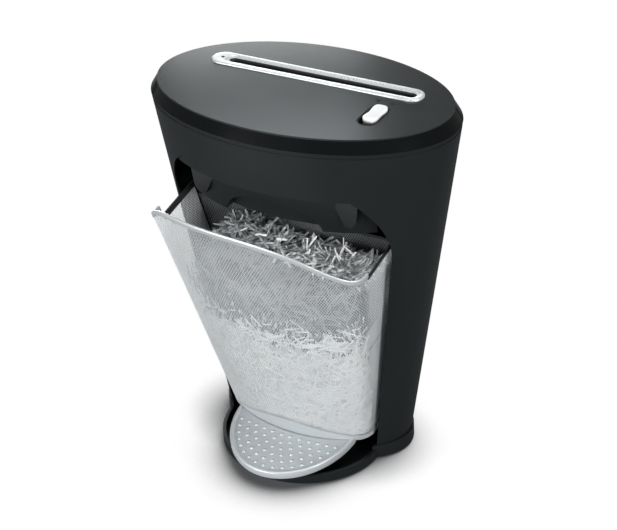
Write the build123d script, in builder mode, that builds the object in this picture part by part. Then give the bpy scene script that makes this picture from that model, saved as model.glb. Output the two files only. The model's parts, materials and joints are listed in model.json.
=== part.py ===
from build123d import *
from functools import cache
import math
import os

os.makedirs("parts", exist_ok=True)

# Driving dimensions, in millimetres. X runs along the paper slot, the front is -Y, the floor is z = 0.
ENTRY = 228.0                 # paper entry, a little over letter width; it sets the scale of the rest
ENTRY_GAP = 7.0               # width of the entry across Y
SLOT_X, SLOT_Y = 7.0, 30.0    # middle of the entry, behind the middle of the lid and a little right
FOOT_A, FOOT_B = 124.5, 72.5  # half axes of the body at its foot
HEAD_SHARE, HEAD_B = 0.829, 116.0  # half width of the body under the lid per entry width, and half depth
BEVEL_A, BEVEL_B = 9.0, 6.0   # the lid's rim leans in by this much
BASE_TOP = 20.0               # top of the plinth
SHELL_TOP = 438.0             # top edge of the body shell
RIM_LOW = 443.5               # underside of the lid's bevelled rim
LID_EDGE_TOP = 458.0          # edge of the lid's top
LID_EDGE = 1.2                # thickness of that edge
CROWN = 1.6                   # rise of the lid's top
RIM_WALL = 4.0                # wall of the lid's rim
WALL = 2.5                    # moulded wall
SEAM = 0.4                    # shadow gap between moulded covers
CLEAR = 0.3                   # gap around a piece that drops into a hole
RUNNING = 0.05                # radial clearance of a shaft in its bore
FIXED = 0.02                  # radial clearance of a pin held in its own body
SCREW_R = 2.0

# Base
BASE_LOW = 2.0
BASE_PROUD = 2.0              # the plinth stands out past the shell's foot
FLOOR_TOP = 4.5
TRAY_A, TRAY_B, TRAY_Y, TRAY_TOP = 103.0, 95.5, -40.0, 14.0
LIP = 4.0
POST_X, POST_Y, POST_R = 110.0, 14.0, 5.0
TAB = 4.0
FEET_X, FEET_REAR_Y, FEET_FRONT_Y, FOOT_R = 70.0, 45.0, -92.0, 8.0

# Front opening and bin
OPENING_SHARE = 0.82          # half width of the opening as a share of the body's half width
OPENING_TOP = 402.0
OPENING_LEFT, OPENING_RIGHT = 66.0, 90.0  # rounding of the opening's upper corners
BIN_SHARE = 0.778             # half width of the bin as a share of the body's half width
BIN_LOW, BIN_HIGH, BIN_BACK = 30.0, 380.0, 20.0
BIN_CORNER = 26.0
BIN_FLUSH = 1.0               # the bin's front lies this far inside the body's face when shut
SHEET = 1.5                   # wire mesh sheet
HEM, HEM_PROUD = 8.0, 0.6     # folded hem along the front rim
SIDE_RIM_LEFT, SIDE_RIM_RIGHT = 322.0, 305.0
STRIP_LEFT, STRIP_RIGHT, STRIP_PROUD = 7.0, 4.0, 0.3
BIN_FLOOR_T, APRON_T = 2.5, 3.0
# Rim of the bin in the front view, by share of its half width: high on the left, falling to the right.
RIM_SHAPE = [(-1.02, 319), (-0.905, 338), (-0.735, 365), (-0.41, 376), (0.135, 374), (0.56, 350),
             (0.865, 315), (1.02, 306)]
APRON_SHAPE = [(-1.5, 2), (-0.94, 4), (0.0, 25), (0.94, 4), (1.5, 2)]  # the apron's arched top edge
CORNER_PAST = 2.0             # the front sheet ends this far behind the bin's rounded corners
HINGE_Y, HINGE_Z = -60.0, 22.0
OPEN_ANGLE = 11.0             # the bin stands open by this angle at rest
BARREL_X, BARREL_R, PIN_R = 46.0, 6.0, 4.0
BRACKET_GAP, BRACKET_T, BRACKET_R = 3.0, 6.0, 6.5
PEDAL_A, PEDAL_DEPTH, PEDAL_T = 80.0, 98.0, 5.0
PEDAL_Y, PEDAL_Z, PEDAL_SLOPE = -50.0, 31.2, -4.6
PEDAL_RIM, PEDAL_RIM_H = 4.0, 2.0
STOP_Y, STOP_R = -118.0, 6.0

# Shredding head
TRAY_FLOOR, TRAY_WALL = 380.0, 3.0
FLANGE_IN = 0.6               # the tray's flange shows as a fine bead under the lid
SKIRT_LOW, SKIRT_IN, SKIRT_X = 330.0, 20.0, 118.0
SKIRT_ARCH_X, SKIRT_ARCH_Z = 62.0, 30.0
HOOD_DEEP = 14.0
LUG_Y, LUG_T = 68.0, 8.0
LUG_SHAPE = [(48, TRAY_FLOOR), (10, TRAY_FLOOR), (14, 350), (20, 342), (28, 342)]  # from the skirt's end
CUT_Z, CUT_SPACING = 414.0, 36.0
CUT_R, CUT_HOOK_R, CUT_CORE_R, CUT_END_R = 20.5, 18.6, 10.0, 8.0
CUT_PITCH, CUT_DISC, CUT_HOOKS = 10.0, 4.6, 6
PLATE_PAST, PLATE_T, PLATE_Y, PLATE_TOP = 4.0, 4.0, 72.0, 446.0
BUSH_R = 11.0
ROD_R, NUT_R, NUT_T = 3.0, 5.0, 4.0
RODS = [(66.0, 440.0), (66.0, 394.0), (-64.0, 440.0)]
SYNC_MODULE, SYNC_TEETH = 2.0, 18
DRIVE_MODULE, DRIVE_TEETH, IDLER_SMALL = 1.5, 28, 12
MOTOR_MODULE, IDLER_LARGE, PINION_TEETH = 1.0, 44, 14
TRAIN_RISE, TRAIN_DROP = 20.0, -15.0   # slope of the gear train to the idler and on to the motor
GEAR_W, GEAR_GAP = 7.0, 2.0
IDLER_PIN_R = 4.0
MOTOR_R, MOTOR_LEN, MOTOR_END, MOTOR_SHAFT_R, ROTOR_R = 26.0, 108.0, 4.0, 3.0, 20.0
GUIDE_DOWN, GUIDE_DEEP, GUIDE_WALL, GUIDE_FLANGE = 5.0, 20.0, 3.0, 2.5
COMB_T, COMB_LOW, COMB_HIGH, FINGER_W = 3.5, 405.0, 411.0, 3.6
INLET_X, INLET_Z, INLET_W, INLET_H = -60.0, 410.0, 24.0, 18.0
INLET_DEEP, INLET_PROUD = 21.0, 0.6
BOARD_GAP, BOARD_HALF, BOARD_UP, BOARD_T = 8.0, 36.0, 8.0, 1.6

# Switch and lamps on the lid
SWITCH_X, SWITCH_Y = 104.5, -29.0
WELL_L, WELL_W, WELL_WALL, WELL_LOW = 50.0, 24.4, 1.4, 449.0
BUTTON_L, BUTTON_W, BUTTON_TOP, BUTTON_BACK = 36.0, 20.0, 463.0, 2.0
TRIM_PAST, TRIM_W, TRIM_PROUD = 17.5, 29.0, 1.4
LAMPS = [(93.0, 4.0), (111.0, 3.0)]
LAMP_R, LAMP_BESIDE = 2.0, 11.5

# Places worked out from the sizes above
HEAD_A = HEAD_SHARE * ENTRY
LID_A, LID_B = HEAD_A - BEVEL_A, HEAD_B - BEVEL_B
PLATE_X = ENTRY / 2 + PLATE_PAST
CUT_COUNT = int(ENTRY // CUT_PITCH)
TRIM_L = ENTRY + ENTRY_GAP + 2 * TRIM_PAST
SLOT_LAMP_X = SLOT_X - (ENTRY + ENTRY_GAP) / 2 - LAMP_BESIDE
GUIDE_TOP = LID_EDGE_TOP - GUIDE_DOWN
GUIDE_LOW = GUIDE_TOP - GUIDE_DEEP
CUT_FRONT_Y, CUT_REAR_Y = SLOT_Y - CUT_SPACING / 2, SLOT_Y + CUT_SPACING / 2
IDLER_DISTANCE = DRIVE_MODULE * (DRIVE_TEETH + IDLER_SMALL) / 2
MOTOR_DISTANCE = MOTOR_MODULE * (IDLER_LARGE + PINION_TEETH) / 2
IDLER_Y = CUT_FRONT_Y - IDLER_DISTANCE * math.cos(math.radians(TRAIN_RISE))
IDLER_Z = CUT_Z + IDLER_DISTANCE * math.sin(math.radians(TRAIN_RISE))
MOTOR_Y = IDLER_Y - MOTOR_DISTANCE * math.cos(math.radians(TRAIN_DROP))
MOTOR_Z = IDLER_Z + MOTOR_DISTANCE * math.sin(math.radians(TRAIN_DROP))
PLATE_OUT = PLATE_X + PLATE_T
SYNC_X = PLATE_OUT + GEAR_GAP
DRIVE_X = SYNC_X + GEAR_W + GEAR_GAP
LARGE_X = DRIVE_X + GEAR_W + GEAR_GAP
TRAY_IN = WALL + SEAM + TRAY_WALL
TRAY_FLOOR_TOP = TRAY_FLOOR + TRAY_WALL
RIM_TOP = LID_EDGE_TOP - LID_EDGE
TRIM_TOP = LID_EDGE_TOP + CROWN + TRIM_PROUD
POSTS = [(x, y) for x in (-POST_X, POST_X) for y in (-POST_Y, POST_Y)]
FEET = [(0.0, 0.0)] + [(x, y) for x in (-FEET_X, FEET_X) for y in (FEET_FRONT_Y, FEET_REAR_Y)]
SCREW_TOP = BASE_TOP + SEAM + TAB
UP = (Align.CENTER, Align.CENTER, Align.MIN)
OPENED = Pos(0, HINGE_Y, HINGE_Z) * Rot(OPEN_ANGLE, 0, 0) * Pos(0, -HINGE_Y, -HINGE_Z)


def save(builder, label, place=Location()):
    """Label a finished piece, put it in place and write its file."""
    piece = builder.part.moved(place)
    piece.label = label
    export_step(piece, f"parts/{label}.step")


def half_axes(z, inset=0.0):
    """Half axes of the tapered oval body at height z, moved in by inset."""
    share = (z - BASE_TOP) / (RIM_LOW - BASE_TOP)
    return FOOT_A + (HEAD_A - FOOT_A) * share - inset, FOOT_B + (HEAD_B - FOOT_B) * share - inset


def oval_x(y, z, inset=0.0):
    """Half width of the tapered oval at depth y and height z."""
    a, b = half_axes(z, inset)
    return a * math.sqrt(1 - (y / b) ** 2)


def oval_y(x, z, inset=0.0):
    """Half depth of the tapered oval at width x and height z."""
    a, b = half_axes(z, inset)
    return b * math.sqrt(1 - (x / a) ** 2)


def corner_end(z):
    """Y at height z where the bin's rounded front corner runs out into its side wall."""
    a, b = half_axes(z, BIN_FLUSH)
    low, high = 0.0, math.pi / 2
    for _ in range(40):
        turn = (low + high) / 2
        across, along = b * math.sin(turn), a * math.cos(turn)
        slant = math.hypot(across, along)
        if a * math.sin(turn) - BIN_CORNER * across / slant < BIN_SHARE * half_axes(z)[0] - BIN_CORNER:
            low = turn
        else:
            high = turn
    return BIN_CORNER * along / slant - b * math.cos(turn)


def oval_cone(low, high, inset=0.0, mode=Mode.ADD):
    """Add the tapered oval between two heights to the open part."""
    with BuildSketch(Plane.XY.offset(low)) as lower:
        Ellipse(*half_axes(low, inset))
    with BuildSketch(Plane.XY.offset(high)) as upper:
        Ellipse(*half_axes(high, inset))
    loft([lower.sketch, upper.sketch], ruled=True, mode=mode)


def bar(x, length, radius, y, z, mode=Mode.ADD):
    """Add a round bar along X to the open part, from x over length."""
    with BuildSketch(Plane.YZ.offset(x)) as face:
        with Locations((y, z)):
            Circle(radius)
    extrude(face.sketch, amount=length, mode=mode)


def block(low, high, mode=Mode.ADD):
    """Add a box between two corners to the open part."""
    with Locations(tuple((a + b) / 2 for a, b in zip(low, high))):
        Box(*[b - a for a, b in zip(low, high)], mode=mode)


def gear(x, module, teeth, y, z, aim):
    """Add a spur gear about an axis along X, with one tooth centred on the angle aim in degrees."""
    pitch_r = module * teeth / 2
    base_r = pitch_r * math.cos(math.radians(20))
    root_r, tip_r = pitch_r - 1.15 * module, pitch_r + 0.8 * module
    low_r = max(base_r, root_r)
    half_tooth = math.pi / (2 * teeth) - 0.12 / pitch_r + math.tan(math.radians(20)) - math.radians(20)
    radii = [root_r] + [low_r + (tip_r - low_r) * step / 3 for step in range(1, 4)]
    flank = []
    for radius in radii:
        lean = math.acos(min(1.0, base_r / radius))
        flank.append((radius, half_tooth - math.tan(lean) + lean))
    outline = []
    for tooth in range(teeth):
        middle = math.radians(aim) + 2 * math.pi * tooth / teeth
        turns = [(r, middle - half) for r, half in flank] + [(r, middle + half) for r, half in flank[::-1]]
        outline += [(y + r * math.cos(turn), z + r * math.sin(turn)) for r, turn in turns]
    with BuildSketch(Plane.YZ.offset(x)) as face:
        with BuildLine():
            Polyline(*outline, close=True)
        make_face()
    extrude(face.sketch, amount=GEAR_W)


@cache
def bin_block(inset=0.0, low=BIN_LOW):
    """Solid with the outside of the shut bin, moved in by inset on every wall."""
    with BuildPart() as solid:
        oval_cone(low, BIN_HIGH, BIN_FLUSH + inset)
        faces = []
        for z in (low, BIN_HIGH):
            half_width = BIN_SHARE * half_axes(z)[0] - inset
            with BuildSketch(Plane.XY.offset(z)) as section:
                with Locations((0, BIN_BACK - inset)):
                    Rectangle(2 * half_width, 2 * HEAD_B, align=(Align.CENTER, Align.MAX))
            faces.append(section.sketch)
        loft(faces, ruled=True, mode=Mode.INTERSECT)
        upright = solid.edges().filter_by(lambda edge: edge.bounding_box().size.Z > 0.9 * (BIN_HIGH - low))
        fillet(upright.filter_by(lambda edge: edge.center().Y < 0), BIN_CORNER - inset)
    return solid.part


def bin_wall(outer, inner):
    """Add the bin's wall between two insets to the open part."""
    add(bin_block(outer))
    add(bin_block(inner, BIN_LOW - 1), mode=Mode.SUBTRACT)


def keep_front_between(lower, upper):
    """Keep the open part's front, between two smooth lines drawn in the front view."""
    split(bisect_by=FRONT_END, keep=Keep.BOTTOM)
    with BuildSketch(Plane.XZ) as band:
        with BuildLine():
            under = Spline(*lower)
            over = Spline(*upper)
            Line(under @ 0, over @ 0)
            Line(under @ 1, over @ 1)
        make_face()
    extrude(band.sketch, amount=2 * HEAD_B, mode=Mode.INTERSECT)


# Lines that follow from the bin's shape: the plane on which the front sheet ends, the rim and the apron
END_LOW, END_HIGH = corner_end(BIN_LOW) + CORNER_PAST, corner_end(BIN_HIGH) + CORNER_PAST
END_LEAN = (END_LOW - END_HIGH) / (BIN_HIGH - BIN_LOW)
FRONT_END = Plane(origin=(0, END_LOW, BIN_LOW), x_dir=(1, 0, 0), z_dir=(0, 1, END_LEAN))
RIM_LINE = [(share * BIN_SHARE * HEAD_A, z) for share, z in RIM_SHAPE]
HEM_LINE = [(x, z - HEM) for x, z in RIM_LINE]
APRON_LINE = [(share * BIN_SHARE * half_axes(BIN_LOW)[0], BIN_LOW + rise) for share, rise in APRON_SHAPE]

# Base with the tray around the pedal
with BuildPart() as base:
    with BuildSketch(Plane.XY.offset(BASE_LOW)):
        Ellipse(FOOT_A + BASE_PROUD, FOOT_B + BASE_PROUD)
    extrude(amount=BASE_TOP - BASE_LOW)
    with BuildSketch(Plane.XY.offset(BASE_LOW)):
        with Locations((0, TRAY_Y)):
            Ellipse(TRAY_A, TRAY_B)
    extrude(amount=TRAY_TOP - BASE_LOW)
    with BuildSketch(Plane.XY.offset(FLOOR_TOP)):
        Ellipse(FOOT_A + BASE_PROUD - LIP, FOOT_B + BASE_PROUD - LIP)
        with Locations((0, TRAY_Y)):
            Ellipse(TRAY_A - LIP, TRAY_B - LIP)
    extrude(amount=BASE_TOP, mode=Mode.SUBTRACT)
    with Locations([(x, y, FLOOR_TOP) for x, y in POSTS]):
        Cylinder(POST_R, BASE_TOP - FLOOR_TOP, align=UP)
    with Locations([(x, y, BASE_LOW) for x, y in POSTS]):
        Cylinder(SCREW_R + CLEAR, BASE_TOP, align=UP, mode=Mode.SUBTRACT)
save(base, "base")

with BuildPart() as rubber_feet:
    with Locations([(x, y, 0) for x, y in FEET]):
        Cylinder(FOOT_R, BASE_LOW, align=UP)
save(rubber_feet, "rubber_feet")

with BuildPart() as base_screws:
    with Locations([(x, y, BASE_LOW) for x, y in POSTS]):
        Cylinder(SCREW_R, SCREW_TOP - BASE_LOW, align=UP)
save(base_screws, "base_screws")

for label, side in (("hinge_bracket_left", -1), ("hinge_bracket_right", 1)):
    with BuildPart() as hinge_bracket:
        inner = min(side * (BARREL_X + BRACKET_GAP), side * (BARREL_X + BRACKET_GAP + BRACKET_T))
        bar(inner, BRACKET_T, BRACKET_R, HINGE_Y, HINGE_Z)
        block((inner, HINGE_Y - BRACKET_R, FLOOR_TOP), (inner + BRACKET_T, HINGE_Y + BRACKET_R, HINGE_Z))
        bar(inner, BRACKET_T, PIN_R + RUNNING, HINGE_Y, HINGE_Z, mode=Mode.SUBTRACT)
    save(hinge_bracket, label)

# Rubber stop under the pedal, just clear of it when the bin stands open
with BuildPart() as pedal_stop:
    back = OPENED * Pos(0, PEDAL_Y, PEDAL_Z)
    slope = math.radians(PEDAL_SLOPE + OPEN_ANGLE)
    fall = (back.position.Y - STOP_Y + STOP_R) * math.tan(slope)
    under = back.position.Z - fall - PEDAL_T / math.cos(slope)
    with Locations((0, STOP_Y, FLOOR_TOP)):
        Cylinder(STOP_R, under - CLEAR - FLOOR_TOP, align=UP)
save(pedal_stop, "pedal_stop")

# Body shell, open at the front and pierced for the power inlet
with BuildPart() as body_shell:
    oval_cone(BASE_TOP + SEAM, SHELL_TOP)
    oval_cone(BASE_TOP + SEAM, SHELL_TOP, WALL, mode=Mode.SUBTRACT)
    with BuildSketch(Plane.XZ) as opening:
        with BuildLine():
            low_x = OPENING_SHARE * half_axes(0)[0]
            high_x = OPENING_SHARE * half_axes(OPENING_TOP)[0]
            Polyline((-low_x, 0), (-high_x, OPENING_TOP), (high_x, OPENING_TOP), (low_x, 0), close=True)
        make_face()
        for end, rounding in ((0, OPENING_LEFT), (-1, OPENING_RIGHT)):
            fillet(opening.vertices().group_by(Axis.Y)[-1].sort_by(Axis.X)[end], rounding)
    extrude(amount=2 * HEAD_B, mode=Mode.SUBTRACT)
    tab_in, tab_out = POST_X - POST_R, FOOT_A - WALL - 3
    with Locations([(math.copysign((tab_in + tab_out) / 2, x), y, BASE_TOP + SEAM) for x, y in POSTS]):
        Box(tab_out - tab_in, 2 * POST_R, TAB, align=UP)
    with Locations([(x, y, BASE_TOP) for x, y in POSTS]):
        Cylinder(SCREW_R + FIXED, 2 * TAB, align=UP, mode=Mode.SUBTRACT)
    with Locations((INLET_X, HEAD_B, INLET_Z)):
        Box(INLET_W + 2 * CLEAR, HEAD_B, INLET_H + 2 * CLEAR, mode=Mode.SUBTRACT)
save(body_shell, "body_shell")

# Head tray: the tub under the lid that carries the cutters and the motor
with BuildPart() as head_tray:
    oval_cone(TRAY_FLOOR, SHELL_TOP, WALL + SEAM)
    oval_cone(SHELL_TOP, RIM_LOW, FLANGE_IN)
    oval_cone(TRAY_FLOOR_TOP, RIM_LOW, TRAY_IN, mode=Mode.SUBTRACT)
    block((PLATE_T - PLATE_X, CUT_FRONT_Y - CUT_R, 0), (PLATE_X - PLATE_T, CUT_REAR_Y + CUT_R, CUT_Z),
          mode=Mode.SUBTRACT)
    with Locations((INLET_X, HEAD_B, INLET_Z)):
        Box(INLET_W + 2 * CLEAR, HEAD_B, INLET_H + 2 * CLEAR, mode=Mode.SUBTRACT)
save(head_tray, "head_tray")

# Skirt that hides the cutters behind the opening, with two lugs, an arched lower edge and a hood behind it
with BuildPart() as pocket:
    oval_cone(SKIRT_LOW, TRAY_FLOOR)
    oval_cone(SKIRT_LOW, TRAY_FLOOR, SKIRT_IN + HOOD_DEEP, mode=Mode.SUBTRACT)
    block((-SKIRT_ARCH_X, -2 * HEAD_B, 0), (SKIRT_ARCH_X, 0, SHELL_TOP), mode=Mode.INTERSECT)

with BuildPart() as hood:
    oval_cone(SKIRT_LOW, TRAY_FLOOR, SKIRT_IN + WALL / 2)
    oval_cone(SKIRT_LOW, TRAY_FLOOR, SKIRT_IN + HOOD_DEEP + WALL, mode=Mode.SUBTRACT)
    block((-SKIRT_ARCH_X - WALL, -2 * HEAD_B, 0), (SKIRT_ARCH_X + WALL, 0, SHELL_TOP), mode=Mode.INTERSECT)
    add(pocket.part, mode=Mode.SUBTRACT)

with BuildPart() as head_skirt:
    oval_cone(SKIRT_LOW, TRAY_FLOOR, SKIRT_IN)
    oval_cone(SKIRT_LOW, TRAY_FLOOR, SKIRT_IN + WALL, mode=Mode.SUBTRACT)
    block((-SKIRT_X, -2 * HEAD_B, 0), (SKIRT_X, 0, SHELL_TOP), mode=Mode.INTERSECT)
    with BuildSketch(Plane.XZ):
        with Locations((0, SKIRT_LOW)):
            Ellipse(SKIRT_ARCH_X, SKIRT_ARCH_Z)
    extrude(amount=2 * HEAD_B, mode=Mode.SUBTRACT)
    with BuildSketch(Plane.XZ.offset(LUG_Y)):
        for side in (-1, 1):
            with BuildLine():
                Polyline(*[(side * (SKIRT_X - inward), z) for inward, z in LUG_SHAPE], close=True)
            make_face()
    extrude(amount=LUG_T)
    add(hood.part)
save(head_skirt, "head_skirt")

# Switch that stops the motor while the bin is open
with BuildPart() as interlock_switch:
    block((60, -62, TRAY_FLOOR - 14), (80, -50, TRAY_FLOOR))
    block((67, -67, TRAY_FLOOR - 9), (73, -62, TRAY_FLOOR - 5))
save(interlock_switch, "interlock_switch")

# Lid: bevelled rim and crowned top
with BuildPart() as lid_rim:
    for inset, mode in ((0.0, Mode.ADD), (RIM_WALL, Mode.SUBTRACT)):
        with BuildSketch(Plane.XY.offset(RIM_LOW)) as lower:
            Ellipse(HEAD_A - inset, HEAD_B - inset)
        with BuildSketch(Plane.XY.offset(RIM_TOP)) as upper:
            Ellipse(LID_A - inset, LID_B - inset)
        loft([lower.sketch, upper.sketch], ruled=True, mode=mode)
save(lid_rim, "lid_rim")

with BuildPart() as lid_top:
    crown_r = (LID_A ** 2 + CROWN ** 2) / (2 * CROWN)
    with BuildSketch(Plane.XY.offset(RIM_TOP)):
        Ellipse(LID_A, LID_B)
    extrude(amount=LID_EDGE + CROWN)
    with Locations((0, 0, LID_EDGE_TOP + CROWN - crown_r)):
        Sphere(crown_r, rotation=(90, 0, 0), mode=Mode.INTERSECT)
    with BuildSketch(Plane.XY.offset(GUIDE_TOP)):
        Ellipse(LID_A - RIM_WALL - SEAM, LID_B - RIM_WALL - SEAM)
    extrude(amount=RIM_TOP - GUIDE_TOP)
    with BuildSketch(Plane.XY.offset(GUIDE_TOP)):
        with Locations((0, SLOT_Y)):
            SlotOverall(TRIM_L + 2 * CLEAR, TRIM_W + 2 * CLEAR)
        with Locations(Location((SWITCH_X, SWITCH_Y, 0), (0, 0, 90))):
            SlotOverall(WELL_L + 2 * CLEAR, WELL_W + 2 * CLEAR)
        with Locations(LAMPS):
            Circle(LAMP_R + CLEAR)
    extrude(amount=LID_EDGE_TOP, mode=Mode.SUBTRACT)
save(lid_top, "lid_top")

# Bright trim around the entry, with a bevelled mouth and a hole for the standby lamp
with BuildPart() as slot_trim:
    with BuildSketch(Plane.XY.offset(GUIDE_TOP)):
        with Locations((0, SLOT_Y)):
            SlotOverall(TRIM_L, TRIM_W)
    extrude(amount=TRIM_TOP - GUIDE_TOP)
    chamfer(slot_trim.edges().group_by(Axis.Z)[-1], 1.5)
    with BuildSketch(Plane.XY.offset(TRIM_TOP)) as mouth:
        with Locations((SLOT_X, SLOT_Y)):
            SlotOverall(ENTRY + ENTRY_GAP, ENTRY_GAP)
    extrude(amount=GUIDE_TOP - TRIM_TOP, mode=Mode.SUBTRACT)
    chamfer(slot_trim.edges(Select.LAST).group_by(Axis.Z)[-1], 2.0)
    with Locations((SLOT_LAMP_X, SLOT_Y, GUIDE_TOP)):
        Cylinder(LAMP_R + CLEAR, 2 * TRIM_W, mode=Mode.SUBTRACT)
save(slot_trim, "slot_trim")

with BuildPart() as indicator_lamps:
    with Locations([(x, y, GUIDE_TOP) for x, y in LAMPS]):
        Cylinder(LAMP_R, LID_EDGE_TOP + CROWN / 2 - GUIDE_TOP, align=UP)
    with Locations((SLOT_LAMP_X, SLOT_Y, GUIDE_TOP)):
        Cylinder(LAMP_R, TRIM_TOP + 0.2 - GUIDE_TOP, align=UP)
save(indicator_lamps, "indicator_lamps")

# Paper guide: a funnel under the entry, then a throat between the plates down to the nip of the cutters
with BuildPart() as paper_guide:
    reach, throat = TRIM_L / 2 + 8, ENTRY / 2 - CLEAR
    block((-reach, SLOT_Y - 20, GUIDE_TOP - GUIDE_FLANGE), (reach, SLOT_Y + 20, GUIDE_TOP))
    for wall, mode in ((GUIDE_WALL, Mode.ADD), (0.0, Mode.SUBTRACT)):
        sections = []
        for z, x, half, gap in ((GUIDE_LOW, 0.0, throat, ENTRY_GAP - 1),
                                (PLATE_TOP + CLEAR, 0.0, throat, ENTRY_GAP + 4),
                                (GUIDE_TOP, SLOT_X, ENTRY / 2, ENTRY_GAP + 6)):
            with BuildSketch(Plane.XY.offset(z)) as section:
                with Locations((x, SLOT_Y)):
                    Rectangle(2 * (half + wall), gap + 2 * wall)
            sections.append(section.sketch)
        loft(sections, ruled=True, mode=mode)
save(paper_guide, "paper_guide")

with BuildPart() as paper_sensor:
    block((-8, SLOT_Y + 11, GUIDE_TOP - GUIDE_FLANGE - 9), (8, SLOT_Y + 19, GUIDE_TOP - GUIDE_FLANGE))
save(paper_sensor, "paper_sensor")

# Slide switch: a well sunk in the lid and a waisted button that slides in it
with BuildPart() as switch_well:
    with BuildSketch(Plane.XY.offset(WELL_LOW)):
        with Locations(Location((SWITCH_X, SWITCH_Y, 0), (0, 0, 90))):
            SlotOverall(WELL_L, WELL_W)
    extrude(amount=LID_EDGE_TOP + CROWN / 2 - WELL_LOW)
    with BuildSketch(Plane.XY.offset(WELL_LOW + WELL_WALL)):
        with Locations(Location((SWITCH_X, SWITCH_Y, 0), (0, 0, 90))):
            SlotOverall(WELL_L - 2 * WELL_WALL, WELL_W - 2 * WELL_WALL)
    extrude(amount=LID_EDGE_TOP, mode=Mode.SUBTRACT)
save(switch_well, "switch_well")

with BuildPart() as switch_button:
    button_y = SWITCH_Y + WELL_L / 2 - WELL_WALL - BUTTON_BACK - BUTTON_L / 2
    with BuildSketch(Plane.XY.offset(WELL_LOW + WELL_WALL + CLEAR)):
        with Locations(Location((SWITCH_X, button_y, 0), (0, 0, 90))):
            SlotOverall(BUTTON_L, BUTTON_W)
        with Locations((SWITCH_X - BUTTON_W / 2 - 25, button_y), (SWITCH_X + BUTTON_W / 2 + 25, button_y)):
            Circle(26.5, mode=Mode.SUBTRACT)
    extrude(amount=BUTTON_TOP - WELL_LOW - WELL_WALL - CLEAR)
    with BuildSketch(Plane.YZ.offset(SWITCH_X - BUTTON_W)):
        with Locations((button_y, BUTTON_TOP + 46)):
            Circle(48)
    extrude(amount=2 * BUTTON_W, mode=Mode.SUBTRACT)
save(switch_button, "switch_button")

# Cutter frame: two plates, tie rods with nuts, and bushes for the shafts
for label, x in (("frame_plate_left", -PLATE_OUT), ("frame_plate_right", PLATE_X)):
    with BuildPart() as frame_plate:
        block((x, -PLATE_Y, TRAY_FLOOR_TOP), (x + PLATE_T, PLATE_Y, PLATE_TOP))
        fillet(frame_plate.edges().filter_by(Axis.X), 7)
        for y in (CUT_FRONT_Y, CUT_REAR_Y):
            bar(x, PLATE_T, BUSH_R + FIXED, y, CUT_Z, mode=Mode.SUBTRACT)
        for y, z in RODS:
            bar(x, PLATE_T, ROD_R + FIXED, y, z, mode=Mode.SUBTRACT)
        if x > 0:
            bar(x, PLATE_T, IDLER_PIN_R + FIXED, IDLER_Y, IDLER_Z, mode=Mode.SUBTRACT)
            bar(x, PLATE_T, MOTOR_SHAFT_R + 3, MOTOR_Y, MOTOR_Z, mode=Mode.SUBTRACT)
    save(frame_plate, label)

with BuildPart() as tie_rods:
    for y, z in RODS:
        bar(-PLATE_OUT - NUT_T, 2 * (PLATE_OUT + NUT_T), ROD_R, y, z)
save(tie_rods, "tie_rods")

with BuildPart() as frame_nuts:
    for x in (-PLATE_OUT - NUT_T, PLATE_OUT):
        with BuildSketch(Plane.YZ.offset(x)):
            with Locations(RODS):
                RegularPolygon(NUT_R, 6)
                Circle(ROD_R + FIXED, mode=Mode.SUBTRACT)
        extrude(amount=NUT_T)
save(frame_nuts, "frame_nuts")

with BuildPart() as shaft_bushes:
    for x in (-PLATE_OUT, PLATE_X):
        for y in (CUT_FRONT_Y, CUT_REAR_Y):
            bar(x, PLATE_T, BUSH_R, y, CUT_Z)
            bar(x, PLATE_T, CUT_END_R + RUNNING, y, CUT_Z, mode=Mode.SUBTRACT)
save(shaft_bushes, "shaft_bushes")

# Cutters: hooked discs on two shafts, each set standing in the gaps of the other
for label, y, shift, end in (("cutter_front", CUT_FRONT_Y, 0.0, DRIVE_X + GEAR_W),
                             ("cutter_rear", CUT_REAR_Y, CUT_PITCH / 2, SYNC_X + GEAR_W)):
    with BuildPart() as cutter:
        bar(1 - PLATE_X, 2 * (PLATE_X - 1), CUT_CORE_R, y, CUT_Z)
        bar(-PLATE_OUT - 2, PLATE_OUT + 2 + end, CUT_END_R, y, CUT_Z)
        hooks = []
        for hook in range(CUT_HOOKS):
            for turn, radius in ((0.0, CUT_HOOK_R), (0.05, CUT_R), (0.5, CUT_R)):
                angle = 2 * math.pi * (hook + turn) / CUT_HOOKS
                hooks.append((y + radius * math.cos(angle), CUT_Z + radius * math.sin(angle)))
        for disc in range(CUT_COUNT):
            x = (disc - CUT_COUNT / 2 + 0.25) * CUT_PITCH + shift - CUT_DISC / 2
            with BuildSketch(Plane.YZ.offset(x)) as disc_face:
                with BuildLine():
                    Polyline(*hooks, close=True)
                make_face()
            extrude(disc_face.sketch, amount=CUT_DISC)
    save(cutter, label)

# Stripper combs, with a finger in every gap between discs
for label, y, way, shift in (("stripper_front", CUT_FRONT_Y, -1, 0.0),
                             ("stripper_rear", CUT_REAR_Y, 1, CUT_PITCH / 2)):
    with BuildPart() as stripper:
        back, front = y + way * (CUT_R + 1 + COMB_T), y + way * (CUT_R + 1)
        block((-PLATE_X, min(back, front), COMB_LOW), (PLATE_X, max(back, front), COMB_HIGH))
        tip = y + way * (CUT_CORE_R + 1)
        for gap in range(CUT_COUNT - 1):
            x = (gap - CUT_COUNT / 2 + 0.75) * CUT_PITCH + shift
            block((x - FINGER_W / 2, min(tip, front), COMB_LOW),
                  (x + FINGER_W / 2, max(tip, front), COMB_HIGH))
    save(stripper, label)

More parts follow.
